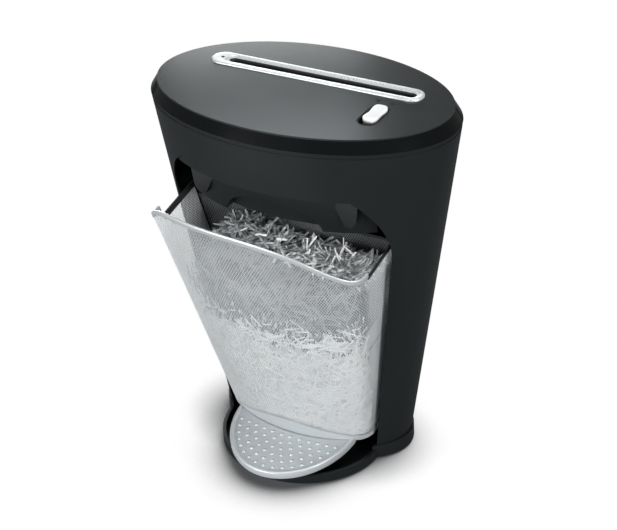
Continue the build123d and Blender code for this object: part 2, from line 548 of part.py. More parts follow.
# Gear train on the right plate: the motor's pinion, the idler and the cutters' gears
IDLER_AIM = 180 - TRAIN_RISE          # from the front cutter towards the idler
MOTOR_AIM = 180 - TRAIN_DROP          # from the idler towards the motor
for label, y, aim in (("sync_gear_front", CUT_FRONT_Y, 0.0),
                      ("sync_gear_rear", CUT_REAR_Y, 180 + 180 / SYNC_TEETH)):
    with BuildPart() as sync_gear:
        gear(SYNC_X, SYNC_MODULE, SYNC_TEETH, y, CUT_Z, aim)
        bar(SYNC_X, GEAR_W, CUT_END_R + FIXED, y, CUT_Z, mode=Mode.SUBTRACT)
    save(sync_gear, label)

with BuildPart() as drive_gear:
    gear(DRIVE_X, DRIVE_MODULE, DRIVE_TEETH, CUT_FRONT_Y, CUT_Z, IDLER_AIM)
    bar(DRIVE_X, GEAR_W, CUT_END_R + FIXED, CUT_FRONT_Y, CUT_Z, mode=Mode.SUBTRACT)
save(drive_gear, "drive_gear")

with BuildPart() as idler_gear:
    gear(DRIVE_X, DRIVE_MODULE, IDLER_SMALL, IDLER_Y, IDLER_Z, IDLER_AIM + 180 + 180 / IDLER_SMALL)
    bar(DRIVE_X + GEAR_W, GEAR_GAP, 2 * IDLER_PIN_R, IDLER_Y, IDLER_Z)
    gear(LARGE_X, MOTOR_MODULE, IDLER_LARGE, IDLER_Y, IDLER_Z, MOTOR_AIM)
    bar(DRIVE_X, 3 * GEAR_W, IDLER_PIN_R + RUNNING, IDLER_Y, IDLER_Z, mode=Mode.SUBTRACT)
save(idler_gear, "idler_gear")

with BuildPart() as idler_pin:
    bar(PLATE_X, LARGE_X + GEAR_W - PLATE_X, IDLER_PIN_R, IDLER_Y, IDLER_Z)
    bar(PLATE_OUT, DRIVE_X - 1 - PLATE_OUT, 1.6 * IDLER_PIN_R, IDLER_Y, IDLER_Z)
save(idler_pin, "idler_pin")

# Motor: a hollow can on the right plate, with the rotor, shaft and pinion turning inside it
with BuildPart() as motor_can:
    bar(PLATE_X - MOTOR_LEN, MOTOR_LEN, MOTOR_R, MOTOR_Y, MOTOR_Z)
    bar(PLATE_X - MOTOR_LEN + MOTOR_END, MOTOR_LEN - 2 * MOTOR_END, MOTOR_R - 2, MOTOR_Y, MOTOR_Z,
        mode=Mode.SUBTRACT)
    bar(PLATE_X - MOTOR_LEN, MOTOR_LEN, MOTOR_SHAFT_R + RUNNING, MOTOR_Y, MOTOR_Z, mode=Mode.SUBTRACT)
save(motor_can, "motor_can")

with BuildPart() as motor_shaft:
    back_end = PLATE_X - MOTOR_LEN - 6
    bar(back_end, LARGE_X + GEAR_W - back_end, MOTOR_SHAFT_R, MOTOR_Y, MOTOR_Z)
    bar(PLATE_X - MOTOR_LEN + 2 * MOTOR_END, MOTOR_LEN - 4 * MOTOR_END, ROTOR_R, MOTOR_Y, MOTOR_Z)
    gear(LARGE_X, MOTOR_MODULE, PINION_TEETH, MOTOR_Y, MOTOR_Z, MOTOR_AIM + 180 + 180 / PINION_TEETH)
save(motor_shaft, "motor_shaft")

with BuildPart() as motor_saddle:
    block((30, MOTOR_Y - 18, TRAY_FLOOR_TOP), (60, MOTOR_Y + 18, MOTOR_Z - 12))
    bar(30, 30, MOTOR_R + FIXED, MOTOR_Y, MOTOR_Z, mode=Mode.SUBTRACT)
save(motor_saddle, "motor_saddle")

# Control board on standoffs, and the power inlet at the back
BOARD_LOW = TRAY_FLOOR_TOP + BOARD_UP
BOARD_LEFT = BOARD_GAP - oval_x(BOARD_HALF, BOARD_LOW, TRAY_IN)
BOARD_RIGHT = -PLATE_OUT - NUT_T - BOARD_GAP
with BuildPart() as circuit_board:
    top = BOARD_LOW + BOARD_T
    block((BOARD_LEFT, -BOARD_HALF, BOARD_LOW), (BOARD_RIGHT, BOARD_HALF, top))
    block((BOARD_LEFT + 2, -30, top), (BOARD_RIGHT - 2, -4, top + 16))
    block((BOARD_LEFT + 4, 6, top), (BOARD_RIGHT - 4, 16, top + 10))
    with Locations(((BOARD_LEFT + BOARD_RIGHT) / 2, 26, top)):
        Cylinder(6, 14, align=UP)
save(circuit_board, "circuit_board")

with BuildPart() as board_standoffs:
    spots = [(x, y) for x in (BOARD_LEFT + 4, BOARD_RIGHT - 4) for y in (4 - BOARD_HALF, BOARD_HALF - 4)]
    with Locations([(x, y, TRAY_FLOOR_TOP) for x, y in spots]):
        Cylinder(3, BOARD_UP, align=UP)
save(board_standoffs, "board_standoffs")

with BuildPart() as power_inlet:
    face = oval_y(INLET_X, INLET_Z) + INLET_PROUD
    block((INLET_X - INLET_W / 2, face - INLET_DEEP, INLET_Z - INLET_H / 2),
          (INLET_X + INLET_W / 2, face, INLET_Z + INLET_H / 2))
    with BuildSketch(Plane.XZ.offset(-face)):
        with Locations((INLET_X, INLET_Z)):
            SlotOverall(17, 10)
    extrude(amount=14, mode=Mode.SUBTRACT)
    with BuildSketch(Plane.XZ.offset(15 - face)):
        with Locations((INLET_X - 4.3, INLET_Z), (INLET_X + 4.3, INLET_Z)):
            Circle(1.2)
    extrude(amount=-12)
save(power_inlet, "power_inlet")

# Bin, drawn shut and moved to its open place
with BuildPart() as bin_front:
    bin_wall(0.0, SHEET)
    keep_front_between(APRON_LINE, HEM_LINE)
save(bin_front, "bin_front", OPENED)

with BuildPart() as bin_hem:
    bin_wall(-HEM_PROUD, SHEET + 2 * HEM_PROUD)
    keep_front_between(HEM_LINE, RIM_LINE)
save(bin_hem, "bin_hem", OPENED)

with BuildPart() as bin_apron:
    bin_wall(0.0, APRON_T)
    keep_front_between([(x, 0) for x, z in APRON_LINE], APRON_LINE)
save(bin_apron, "bin_apron", OPENED)

for name, side, rim, strip in (("left", -1, SIDE_RIM_LEFT, STRIP_LEFT),
                               ("right", 1, SIDE_RIM_RIGHT, STRIP_RIGHT)):
    near, far = sorted((side * FOOT_B, side * HEAD_A))
    with BuildPart() as bin_side:
        bin_wall(0.0, SHEET)
        split(bisect_by=FRONT_END, keep=Keep.TOP)
        block((near, -HEAD_B, 0), (far, BIN_BACK - SHEET, rim - strip), mode=Mode.INTERSECT)
    save(bin_side, f"bin_side_{name}", OPENED)
    with BuildPart() as side_strip:
        bin_wall(-STRIP_PROUD, SHEET + 2 * STRIP_PROUD)
        split(bisect_by=FRONT_END, keep=Keep.TOP)
        block((near, -HEAD_B, rim - strip), (far, BIN_BACK - SHEET, rim), mode=Mode.INTERSECT)
    save(side_strip, f"bin_side_strip_{name}", OPENED)

with BuildPart() as bin_back:
    add(bin_block())
    block((-HEAD_A, BIN_BACK - SHEET, BIN_LOW), (HEAD_A, BIN_BACK, SIDE_RIM_RIGHT), mode=Mode.INTERSECT)
save(bin_back, "bin_back", OPENED)

with BuildPart() as bin_floor:
    add(bin_block(APRON_T))
    block((-HEAD_A, -HEAD_B, BIN_LOW), (HEAD_A, HEAD_B, BIN_LOW + BIN_FLOOR_T), mode=Mode.INTERSECT)
    bar(-BARREL_X, 2 * BARREL_X, BARREL_R, HINGE_Y, HINGE_Z)
    block((-BARREL_X, HINGE_Y - PIN_R, HINGE_Z), (BARREL_X, HINGE_Y + PIN_R, BIN_LOW + BIN_FLOOR_T / 2))
    bar(-BARREL_X, 2 * BARREL_X, PIN_R + FIXED, HINGE_Y, HINGE_Z, mode=Mode.SUBTRACT)
save(bin_floor, "bin_floor", OPENED)

with BuildPart() as hinge_pins:
    reach = BARREL_X + BRACKET_GAP + BRACKET_T + 1
    for x in (-reach, reach - 30):
        bar(x, 30, PIN_R, HINGE_Y, HINGE_Z)
save(hinge_pins, "hinge_pins", OPENED)

# Half-moon pedal with a raised rim, fixed to the apron
with BuildPart() as pedal:
    lean = math.radians(PEDAL_SLOPE)
    tread = Plane(origin=(0, PEDAL_Y, PEDAL_Z), x_dir=(1, 0, 0), z_dir=(0, -math.sin(lean), math.cos(lean)))
    for inset, amount, mode in ((0.0, PEDAL_RIM_H, Mode.ADD), (PEDAL_RIM, PEDAL_RIM_H, Mode.SUBTRACT),
                                (0.0, -PEDAL_T, Mode.ADD)):
        with BuildSketch(tread):
            Ellipse(PEDAL_A - inset, PEDAL_DEPTH - inset)
            Rectangle(2 * PEDAL_A, PEDAL_DEPTH, align=(Align.CENTER, Align.MIN), mode=Mode.SUBTRACT)
        extrude(amount=amount, mode=mode)
    add(bin_block(0.0, BIN_LOW - 3 * PEDAL_T), mode=Mode.SUBTRACT)
save(pedal, "pedal", OPENED)
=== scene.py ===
"""Looks of a floor-standing paper shredder with a tilted-out mesh bin, round its CAD frame."""

import json
import logging
import math
from collections.abc import Callable
from dataclasses import dataclass, fields, replace
from enum import Enum
from typing import Any

import bpy
import numpy as np
from mathutils import Matrix, Vector


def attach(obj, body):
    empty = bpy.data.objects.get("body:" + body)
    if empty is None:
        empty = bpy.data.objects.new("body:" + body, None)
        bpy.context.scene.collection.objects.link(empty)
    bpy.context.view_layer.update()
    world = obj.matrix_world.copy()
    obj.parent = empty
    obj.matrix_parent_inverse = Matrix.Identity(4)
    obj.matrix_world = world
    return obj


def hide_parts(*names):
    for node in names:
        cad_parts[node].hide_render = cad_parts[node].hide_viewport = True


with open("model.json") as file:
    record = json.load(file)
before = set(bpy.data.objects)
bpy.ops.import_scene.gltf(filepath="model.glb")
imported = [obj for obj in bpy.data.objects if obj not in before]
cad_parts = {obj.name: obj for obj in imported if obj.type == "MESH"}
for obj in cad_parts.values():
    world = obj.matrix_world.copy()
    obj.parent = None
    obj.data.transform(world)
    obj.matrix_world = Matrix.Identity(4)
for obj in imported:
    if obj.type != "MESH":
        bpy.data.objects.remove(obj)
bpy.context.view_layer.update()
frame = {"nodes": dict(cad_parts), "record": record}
MM = 0.001
log = logging.getLogger("shredder_looks")

Array = np.ndarray
Piece = bpy.types.Object
Tree = bpy.types.NodeTree
Socket = bpy.types.NodeSocket
Pair = tuple[float, float]
Triple = tuple[float, float, float]
Surface = Callable[[Array, Array], Array]
Area = Callable[[Array, Array, Array], Array]


def linear(colour: str) -> tuple[float, float, float, float]:
    """Turn an sRGB hex colour into linear light.

    Args:
        colour: Six hex digits with a leading hash sign.

    Returns:
        Linear red, green and blue, and an alpha of one.
    """
    srgb = np.array([int(colour[start : start + 2], 16) for start in (1, 3, 5)]) / 255.0
    light = np.where(srgb <= 0.04045, srgb / 12.92, ((srgb + 0.055) / 1.055) ** 2.4)
    return (float(light[0]), float(light[1]), float(light[2]), 1.0)


def add_node(
    tree: Tree,
    kind: str,
    settings: dict[str | int, Any] | None = None,
    links: dict[str | int, Socket] | None = None,
) -> bpy.types.Node:
    """Add one node, set its options and loose inputs, and link its other inputs.

    Args:
        tree: Node tree that gets the node.
        kind: Blender's name for the kind of node.
        settings: Options by name, or input values by input name or number.
        links: Output sockets to link from, by input name or number.

    Returns:
        The new node.
    """
    node = tree.nodes.new(kind)
    for key, value in (settings or {}).items():
        if isinstance(key, str) and hasattr(node, key):
            setattr(node, key, value)
        else:
            node.inputs[key].default_value = value
    for key, source in (links or {}).items():
        tree.links.new(source, node.inputs[key])
    return node


def fresh_tree(owner: bpy.types.Material | bpy.types.World) -> Tree:
    """Turn on the nodes of a material or world, with none in the tree yet."""
    owner.use_nodes = True
    owner.node_tree.nodes.clear()
    return owner.node_tree


def add_object(name: str, data: bpy.types.ID) -> Piece:
    """Link a new object with the given data to the scene."""
    piece = bpy.data.objects.new(name, data)
    bpy.context.scene.collection.objects.link(piece)
    return piece


def make_piece(name: str, points: Array, faces: list[Array], smooth: bool = True) -> Piece:
    """Put arrays of points and faces into a new mesh object at the origin.

    Args:
        name: Name of the piece.
        points: Points in millimetres, as rows of x, y, z.
        faces: Arrays of point numbers, one row per face and one array per face size.
        smooth: Whether the faces are shaded smooth.

    Returns:
        The linked object.
    """
    sizes = np.concatenate([np.full(len(rows), rows.shape[1]) for rows in faces])
    corners = np.concatenate([rows.ravel() for rows in faces])
    mesh = bpy.data.meshes.new(name)
    mesh.vertices.add(len(points))
    mesh.vertices.foreach_set("co", (points * MM).astype(np.float32).ravel())
    mesh.loops.add(len(corners))
    mesh.loops.foreach_set("vertex_index", corners.astype(np.int32))
    mesh.polygons.add(len(sizes))
    mesh.polygons.foreach_set("loop_start", (np.cumsum(sizes) - sizes).astype(np.int32))
    mesh.polygons.foreach_set("use_smooth", np.full(len(sizes), smooth))
    mesh.update(calc_edges=True)
    return add_object(name, mesh)


def grid_faces(
    rows: int, columns: int, loop_rows: bool = False, loop_columns: bool = False
) -> Array:
    """Number the quads of a grid of points stored row by row.

    Args:
        rows: Number of rows of points.
        columns: Number of points in a row.
        loop_rows: Whether the last row joins the first.
        loop_columns: Whether each row is a closed ring.

    Returns:
        One row of four point numbers per quad.
    """
    row = np.arange(rows if loop_rows else rows - 1)[:, None]
    column = np.arange(columns if loop_columns else columns - 1)[None, :]
    here, above, right = row * columns, (row + 1) % rows * columns, (column + 1) % columns
    quads = [here + column, here + right, above + right, above + column]
    return np.stack(np.broadcast_arrays(*quads), axis=-1).reshape(-1, 4)


def cap_faces(rows: int, columns: int) -> Array:
    """Number the two faces that close the first and last ring of a grid."""
    ring = np.arange(columns)
    return np.stack([ring[::-1], (rows - 1) * columns + ring])


def ring_piece(name: str, rings: Array, closed: bool = False) -> Piece:
    """Skin a stack of rings of points.

    Args:
        name: Name of the piece.
        rings: Points by ring and by place in the ring, in millimetres.
        closed: Whether the last ring joins the first. If not, a face covers each end.

    Returns:
        The linked object.
    """
    rows, columns = rings.shape[:2]
    faces = [grid_faces(rows, columns, loop_rows=closed, loop_columns=True)]
    if not closed:
        faces.append(cap_faces(rows, columns))
    return make_piece(name, rings.reshape(-1, 3), faces)


def unit(vectors: Array) -> Array:
    """Scale vectors along the last axis to a length of one."""
    return vectors / np.linalg.norm(vectors, axis=-1, keepdims=True)


def ease(share: Array) -> Array:
    """Ease a share from zero to one, level at both ends: three squares less two cubes."""
    return share**2 * (3 - 2 * share)


def natural_spline(knots: Array, count: int) -> Array:
    """Carry a smooth line through knots: a natural cubic spline over the chord length.

    Args:
        knots: Points of the plane, one per row.
        count: How many points of the line to return.

    Returns:
        Points along the line.
    """
    chord = np.concatenate([[0.0], np.cumsum(np.linalg.norm(np.diff(knots, axis=0), axis=1))])
    step = np.diff(chord)[:, None]
    slope = np.diff(knots, axis=0) / step
    inner = len(knots) - 2
    beside = step[1:-1, 0]
    system = np.diag(2 * (step[:-1, 0] + step[1:, 0]))
    system = system + np.diag(beside, 1) + np.diag(beside, -1)
    bend = np.zeros_like(knots)
    bend[1 : inner + 1] = np.linalg.solve(system, 6 * np.diff(slope, axis=0))
    along = np.linspace(0.0, chord[-1], count)
    span = np.clip(np.searchsorted(chord, along, side="right") - 1, 0, inner)
    ahead, behind = (chord[span + 1] - along)[:, None], (along - chord[span])[:, None]
    length = step[span]
    curved = (bend[span] * ahead**3 + bend[span + 1] * behind**3) / (6 * length)
    from_start = (knots[span] / length - bend[span] * length / 6) * ahead
    from_end = (knots[span + 1] / length - bend[span + 1] * length / 6) * behind
    return curved + from_start + from_end


def spline_height(knots: tuple[Pair, ...], x: Array, count: int = 600) -> Array:
    """Height at x of the smooth line through knots of x and height."""
    line = natural_spline(np.array(knots, float), count)
    return np.interp(x, line[:, 0], line[:, 1])


class Pattern(Enum):
    """How a surface was made, which sets the pattern drawn on it."""

    MOULDED = "fine grain of an etched mould"
    PAINTED = "sprayed paint with metal flake"
    BRUSHED = "fine lines along one direction"
    FIBRES = "pressed paper fibres"


NOISE_DETAIL = {Pattern.MOULDED: 2.0, Pattern.BRUSHED: 3.0, Pattern.FIBRES: 5.0}


@dataclass(frozen=True)
class Finish:
    """A surface finish, from the common name of its material and how it was made.

    The grain is drawn on object coordinates with its size in millimetres. Real etched grain is
    0.1 to 0.3 mm, too fine to show at this distance, so grains are drawn three times as coarse.
    """

    name: str
    colour: str
    tone: str
    pattern: Pattern = Pattern.MOULDED
    metallic: float = 0.0
    roughness: float = 0.45
    spread: float = 0.08
    ior: float = 1.5
    grain_mm: float = 0.8
    relief_mm: float = 0.03
    patch_mm: float = 70.0
    grain_share: float = 0.55
    stretch: Triple = (1.0, 1.0, 1.0)

    def material(self) -> bpy.types.Material:
        """Build the finish's node material, or give back the one already built.

        Fine grain and wide patches are mixed. The mix blends the two colours and sets the
        roughness; the grain alone gives the relief.

        Returns:
            The material.
        """
        if self.name in bpy.data.materials:
            return bpy.data.materials[self.name]
        material = bpy.data.materials.new(self.name)
        tree = fresh_tree(material)
        place = {"Vector": add_node(tree, "ShaderNodeTexCoord").outputs["Object"]}
        scale = [share / (self.grain_mm * MM) for share in self.stretch]
        fine = add_node(tree, "ShaderNodeMapping", {"Scale": scale}, place)
        grain = self.grain(tree, fine.outputs["Vector"])
        cloud = {"Scale": 1 / (self.patch_mm * MM), "Detail": 4.0, "Roughness": 0.6}
        patch = add_node(tree, "ShaderNodeTexNoise", cloud, place).outputs["Fac"]
        parts = {2: patch, 3: grain}
        blend = add_node(tree, "ShaderNodeMix", {0: self.grain_share}, parts).outputs[0]
        colours = {"data_type": "RGBA", 6: linear(self.colour), 7: linear(self.tone)}
        colour = add_node(tree, "ShaderNodeMix", colours, {0: blend}).outputs[2]
        span = {"From Min": 0.3, "From Max": 0.7}
        span |= {"To Min": self.roughness - self.spread, "To Max": self.roughness + self.spread}
        rough = add_node(tree, "ShaderNodeMapRange", span, {"Value": blend}).outputs[0]
        relief = {"Strength": 1.0, "Distance": self.relief_mm * MM}
        bump = add_node(tree, "ShaderNodeBump", relief, {"Height": grain}).outputs["Normal"]
        shader = add_node(
            tree,
            "ShaderNodeBsdfPrincipled",
            {"Metallic": self.metallic, "IOR": self.ior},
            {"Base Color": colour, "Roughness": rough, "Normal": bump},
        )
        add_node(tree, "ShaderNodeOutputMaterial", None, {"Surface": shader.outputs["BSDF"]})
        return material

    def grain(self, tree: Tree, fine: Socket) -> Socket:
        """Draw the finish's finest pattern.

        Args:
            tree: Node tree of the material.
            fine: Coordinates counted in grains.

        Returns:
            A height from zero to one.
        """
        if self.pattern is Pattern.PAINTED:
            flakes = {"feature": "SMOOTH_F1", "Scale": 1.0}
            node = add_node(tree, "ShaderNodeTexVoronoi", flakes, {"Vector": fine})
            return node.outputs["Distance"]
        noise = {"Scale": 1.0, "Detail": NOISE_DETAIL[self.pattern]}
        return add_node(tree, "ShaderNodeTexNoise", noise, {"Vector": fine}).outputs["Fac"]


# Moulded ABS with a fine etched grain: a soft, wide highlight on near-black plastic.
SATIN_BLACK = Finish(
    "abs_black_etched", "#101314", "#161a1b", roughness=0.4, spread=0.05, ior=1.38, relief_mm=0.02
)
# Polished ABS: a sharp reflection on black.
GLOSS_BLACK = Finish(
    "abs_black_polished", "#050707", "#090c0d",
    roughness=0.13, spread=0.02, ior=1.32, grain_mm=4.0, relief_mm=0.002,
)
# Grey sprayed lacquer on plastic: flakes give a metallic gradient over the flat lid.
SATIN_GREY = Finish(
    "lacquer_grey_sprayed", "#3b4042", "#494e50", Pattern.PAINTED,
    metallic=0.75, roughness=0.2, spread=0.02, grain_mm=1.1, relief_mm=0.004,
)
# Bright metallised ABS with a satin top coat: pale, with a broad gleam.
BRIGHT_TRIM = Finish(
    "metallised_trim_polished", "#d6dadc", "#cacecf", Pattern.PAINTED,
    metallic=0.4, roughness=0.3, spread=0.04, grain_mm=2.0, relief_mm=0.003,
)
# Matt ABS in recesses: hardly any highlight.
WELL_BLACK = Finish("abs_black_matt", "#0b0c0c", "#121414", roughness=0.6, relief_mm=0.02)
# Polished white ABS: a clean edge highlight.
WHITE_PLASTIC = Finish(
    "abs_white_polished", "#dcdfe0", "#e6e8e9",
    roughness=0.22, spread=0.04, grain_mm=3.0, relief_mm=0.003,
)
# Smoked acrylic lenses, unlit: small sharp dots of light on black.
LAMP = Finish(
    "acrylic_smoked_polished", "#0a0a0b", "#141617",
    roughness=0.1, spread=0.02, ior=1.49, relief_mm=0.001,
)
# Drawn steel wire with a bright dip coat: pale, with a soft gleam along each wire.
WIRE = Finish(
    "steel_wire_dipped", "#c6cacc", "#d4d7d9", Pattern.BRUSHED,
    metallic=0.25, roughness=0.42, spread=0.06, grain_mm=0.5, relief_mm=0.01,
)
# The same wire with painted shade: a darker copy for the wall at the back of the bin, in the shade
# of the head.
WIRE_PAINTED_SHADE = replace(
    WIRE, name="steel_wire_painted_shade", colour="#787c7e", tone="#888c8e", metallic=0.2, roughness=0.5
)
# Folded steel band with a satin coat: a bright line along its rounded top.
HEM_SILVER = Finish(
    "steel_band_satin", "#cfd3d5", "#dde0e2", Pattern.BRUSHED,
    metallic=0.6, roughness=0.36, spread=0.05, relief_mm=0.006, stretch=(0.05, 1.0, 1.0),
)
# Silver lacquer over moulded ABS: matt, with a faint flake.
SILVER_PLASTIC = Finish(
    "lacquer_silver_sprayed", "#aeb3b6", "#bbc0c2", Pattern.PAINTED,
    metallic=0.3, roughness=0.42, spread=0.05, grain_mm=1.0, relief_mm=0.012,
)
# Matt charcoal ABS: a shade lighter than the body.
DARK_PLASTIC = Finish("abs_charcoal_matt", "#1a1c1d", "#242728", roughness=0.52)
# Moulded rubber: dull and dusty.
RUBBER = Finish("rubber_black_moulded", "#151515", "#1f1f1f", roughness=0.8, relief_mm=0.05)
# Machined steel: tool lines along the shafts.
STEEL = Finish(
    "steel_machined", "#8e9193", "#a4a7a9", Pattern.BRUSHED,
    metallic=1.0, roughness=0.34, relief_mm=0.01, stretch=(0.04, 1.0, 1.0),
)
# Sintered bronze: a warm, grainy metal.
BRONZE = Finish("bronze_sintered", "#a8834f", "#8e6c3e", metallic=1.0, roughness=0.42, grain_mm=0.5)
# Natural nylon: milky and even.
NYLON = Finish("nylon_natural_moulded", "#d8d4c8", "#e2dfd5", roughness=0.5, relief_mm=0.01)
# Glass laminate under green solder mask: a thin even gloss.
BOARD_GREEN = Finish(
    "laminate_green_masked", "#1c5a34", "#246b40", roughness=0.35, grain_mm=1.5, relief_mm=0.01
)
# Copier paper: matt white with a soft fibre cloud.
PAPER = Finish(
    "paper_copier_pressed", "#f0f2f2", "#fcfdfd", Pattern.FIBRES,
    roughness=0.85, spread=0.05, grain_mm=2.0, relief_mm=0.02,
)
# Loose shreds in the shade of the head and behind the upper wire: painted shade, a grey copy of the
# paper.
PAPER_GREY_PAINTED_SHADE = replace(PAPER, name="paper_shreds_painted_shade", colour="#868b8d", tone="#b0b4b6")
# Shreds pressed flat against the wire: white paper, with painted shade as small grey gaps between
# them.
PAPER_PACKED_GAP_SHADE = replace(
    PAPER, name="paper_shreds_packed_gap_shade", colour="#979c9e", tone="#ffffff", grain_mm=4.0, relief_mm=1.2
)
# The hollows among loose shreds, which take almost no light.
PAPER_SHADE = Finish(
    "paper_shreds_shaded", "#505557", "#7a7f81", Pattern.FIBRES,
    roughness=0.9, spread=0.04, grain_mm=5.0, relief_mm=1.2,
)

SLOT_FINISHES: dict[str, Finish] = {
    "satin_black": SATIN_BLACK,
    "gloss_black": GLOSS_BLACK,
    "satin_grey": SATIN_GREY,
    "bright_trim": BRIGHT_TRIM,
    "well_black": WELL_BLACK,
    "white_plastic": WHITE_PLASTIC,
    "lamp": LAMP,
    "wire_mesh": WIRE,
    "silver_hem": HEM_SILVER,
    "silver_plastic": SILVER_PLASTIC,
    "dark_plastic": DARK_PLASTIC,
    "rubber": RUBBER,
    "steel": STEEL,
    "bronze": BRONZE,
    "gear_plastic": NYLON,
    "board_green": BOARD_GREEN,
}


def dress(piece: Piece, finish: Finish, slot: str, body: str, *nodes: str) -> Piece:
    """Give a new piece its finish, its body and the CAD nodes that it stands for.

    Args:
        piece: The new piece.
        finish: Its finish.
        slot: The record's material slot; not used.
        body: The CAD body that it moves with.
        nodes: CAD nodes that it replaces.

    Returns:
        The piece.
    """
    piece.data.materials.append(finish.material())
    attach(piece, body)
    if nodes:
        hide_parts(*nodes)
    log.info("%s: %d faces on %s", piece.name, len(piece.data.polygons), body)
    return piece


def second_finish(piece: Piece, finish: Finish, chosen: Array) -> None:
    """Give the chosen faces of a piece a second finish."""
    piece.data.materials.append(finish.material())
    piece.data.polygons.foreach_set("material_index", chosen.astype(np.int32))


@dataclass(frozen=True)
class BinShape:
    """Outside of the bin as drawn shut: a tapered oval cut by two leaning sides, corners round."""

    foot: Pair = (124.5, 72.5)
    head: Pair = (189.0, 116.0)
    foot_z: float = 20.0
    head_z: float = 443.5
    flush: float = 1.0
    width_share: float = 0.778
    corner: float = 26.0
    back: float = 20.0
    low: float = 30.0
    front_end: float = -28.6
    front_lean: float = 0.0665
    shortest_run: float = 0.5
    sheet: float = 1.5
    hinge: Pair = (-60.0, 22.0)
    open_angle: float = 11.0
    rim: tuple[Pair, ...] = (
        (-150, 319), (-133, 338), (-108, 365), (-60, 376),
        (20, 374), (82, 350), (127, 315), (150, 306),
    )
    apron: tuple[Pair, ...] = ((-147, 32), (-92, 34), (0, 55), (92, 34), (147, 32))
    outline_points: tuple[int, int, int] = (48, 16, 4)
    halvings: int = 40

    def half_axes(self, z: Array) -> tuple[Array, Array]:
        """Half axes of the body's oval at height z, growing evenly from foot to head."""
        share = (z - self.foot_z) / (self.head_z - self.foot_z)
        return (
            self.foot[0] + (self.head[0] - self.foot[0]) * share,
            self.foot[1] + (self.head[1] - self.foot[1]) * share,
        )

    def half_width(self, z: Array) -> Array:
        """Half width between the leaning sides at height z."""
        return self.width_share * self.half_axes(z)[0]

    def front_edge(self, z: Array) -> Array:
        """Distance back at which the front's sheet ends on the sides at height z."""
        return self.front_end - self.front_lean * (z - self.low)

    def front(self, share: Array, z: Array, inset: Array | float = 0.0) -> Array:
        """Points of the front, from the left side (-1) over the middle (0) to the right (1).

        At each height the half outline is an oval arc, a corner arc that touches oval and side,
        and a short straight run. Halving finds the touching point, and a share of the outline's
        length picks the point.

        Args:
            share: Share of the half outline's length, with its sign for the side.
            z: Heights, of the same shape.
            inset: How far inside the outline.

        Returns:
            Points as drawn shut, with a last axis of three.
        """
        given = np.broadcast_arrays(*(np.asarray(values, float) for values in (share, z, inset)))
        share, z, inset = (values.reshape(-1, 1) for values in given)
        a, b = self.half_axes(z)
        a, b = a - self.flush - inset, b - self.flush - inset
        width, radius = self.half_width(z) - inset, np.maximum(self.corner - inset, 1.0)
        low, high = np.zeros_like(a), np.full_like(a, math.pi / 2)
        for _ in range(self.halvings):
            turn = (low + high) / 2
            slope = np.hypot(np.sin(turn) / a, np.cos(turn) / b)
            outside = a * np.sin(turn) - radius * np.sin(turn) / a / slope > width - radius
            low, high = np.where(outside, low, turn), np.where(outside, turn, high)
        slope = np.hypot(np.sin(low) / a, np.cos(low) / b)
        normal_x, normal_y = np.sin(low) / a / slope, -np.cos(low) / b / slope
        middle_x = a * np.sin(low) - radius * normal_x
        middle_y = -b * np.cos(low) - radius * normal_y
        arc_count, corner_count, run_count = self.outline_points
        arc = low * np.linspace(0.0, 1.0, arc_count)
        corner = np.arctan2(normal_y, normal_x) * np.linspace(1.0, 0.0, corner_count)
        end_y = np.maximum(self.front_edge(z), middle_y + self.shortest_run)
        run = middle_y + (end_y - middle_y) * np.linspace(0.0, 1.0, run_count)
        straight = np.broadcast_to(width, run.shape)
        x = np.concatenate([a * np.sin(arc), middle_x + radius * np.cos(corner), straight], axis=1)
        y = np.concatenate([-b * np.cos(arc), middle_y + radius * np.sin(corner), run], axis=1)
        steps = (np.diff(values, axis=1, prepend=values[:, :1]) for values in (x, y))
        length = np.cumsum(np.hypot(*steps), axis=1)
        wanted = np.abs(share) * length[:, -1:]
        step = np.clip((length < wanted).sum(axis=1, keepdims=True) - 1, 0, x.shape[1] - 2)
        start, stop = (np.take_along_axis(length, step + more, 1) for more in (0, 1))
        apart = stop > start
        part = np.where(apart, (wanted - start) / np.where(apart, stop - start, 1.0), 0.0)
        at_x, at_y = (
            np.take_along_axis(values, step, 1) * (1 - part)
            + np.take_along_axis(values, step + 1, 1) * part
            for values in (x, y)
        )
        points = np.concatenate([np.sign(share) * at_x, at_y, z], axis=1)
        return points.reshape(*given[0].shape, 3)

    def opened(self, points: Array) -> Array:
        """Turn points drawn shut about the hinge into the open place that the bin has at rest."""
        turn = math.radians(self.open_angle)
        y, z = points[..., 1] - self.hinge[0], points[..., 2] - self.hinge[1]
        open_y = self.hinge[0] + y * math.cos(turn) - z * math.sin(turn)
        open_z = self.hinge[1] + y * math.sin(turn) + z * math.cos(turn)
        return np.stack([points[..., 0], open_y, open_z], axis=-1)

    def rim_height(self, x: Array) -> Array:
        """Height of the wavy rim in the front view."""
        return spline_height(self.rim, x)

    def apron_height(self, x: Array) -> Array:
        """Height of the apron's upper edge in the front view."""
        return spline_height(self.apron, x)


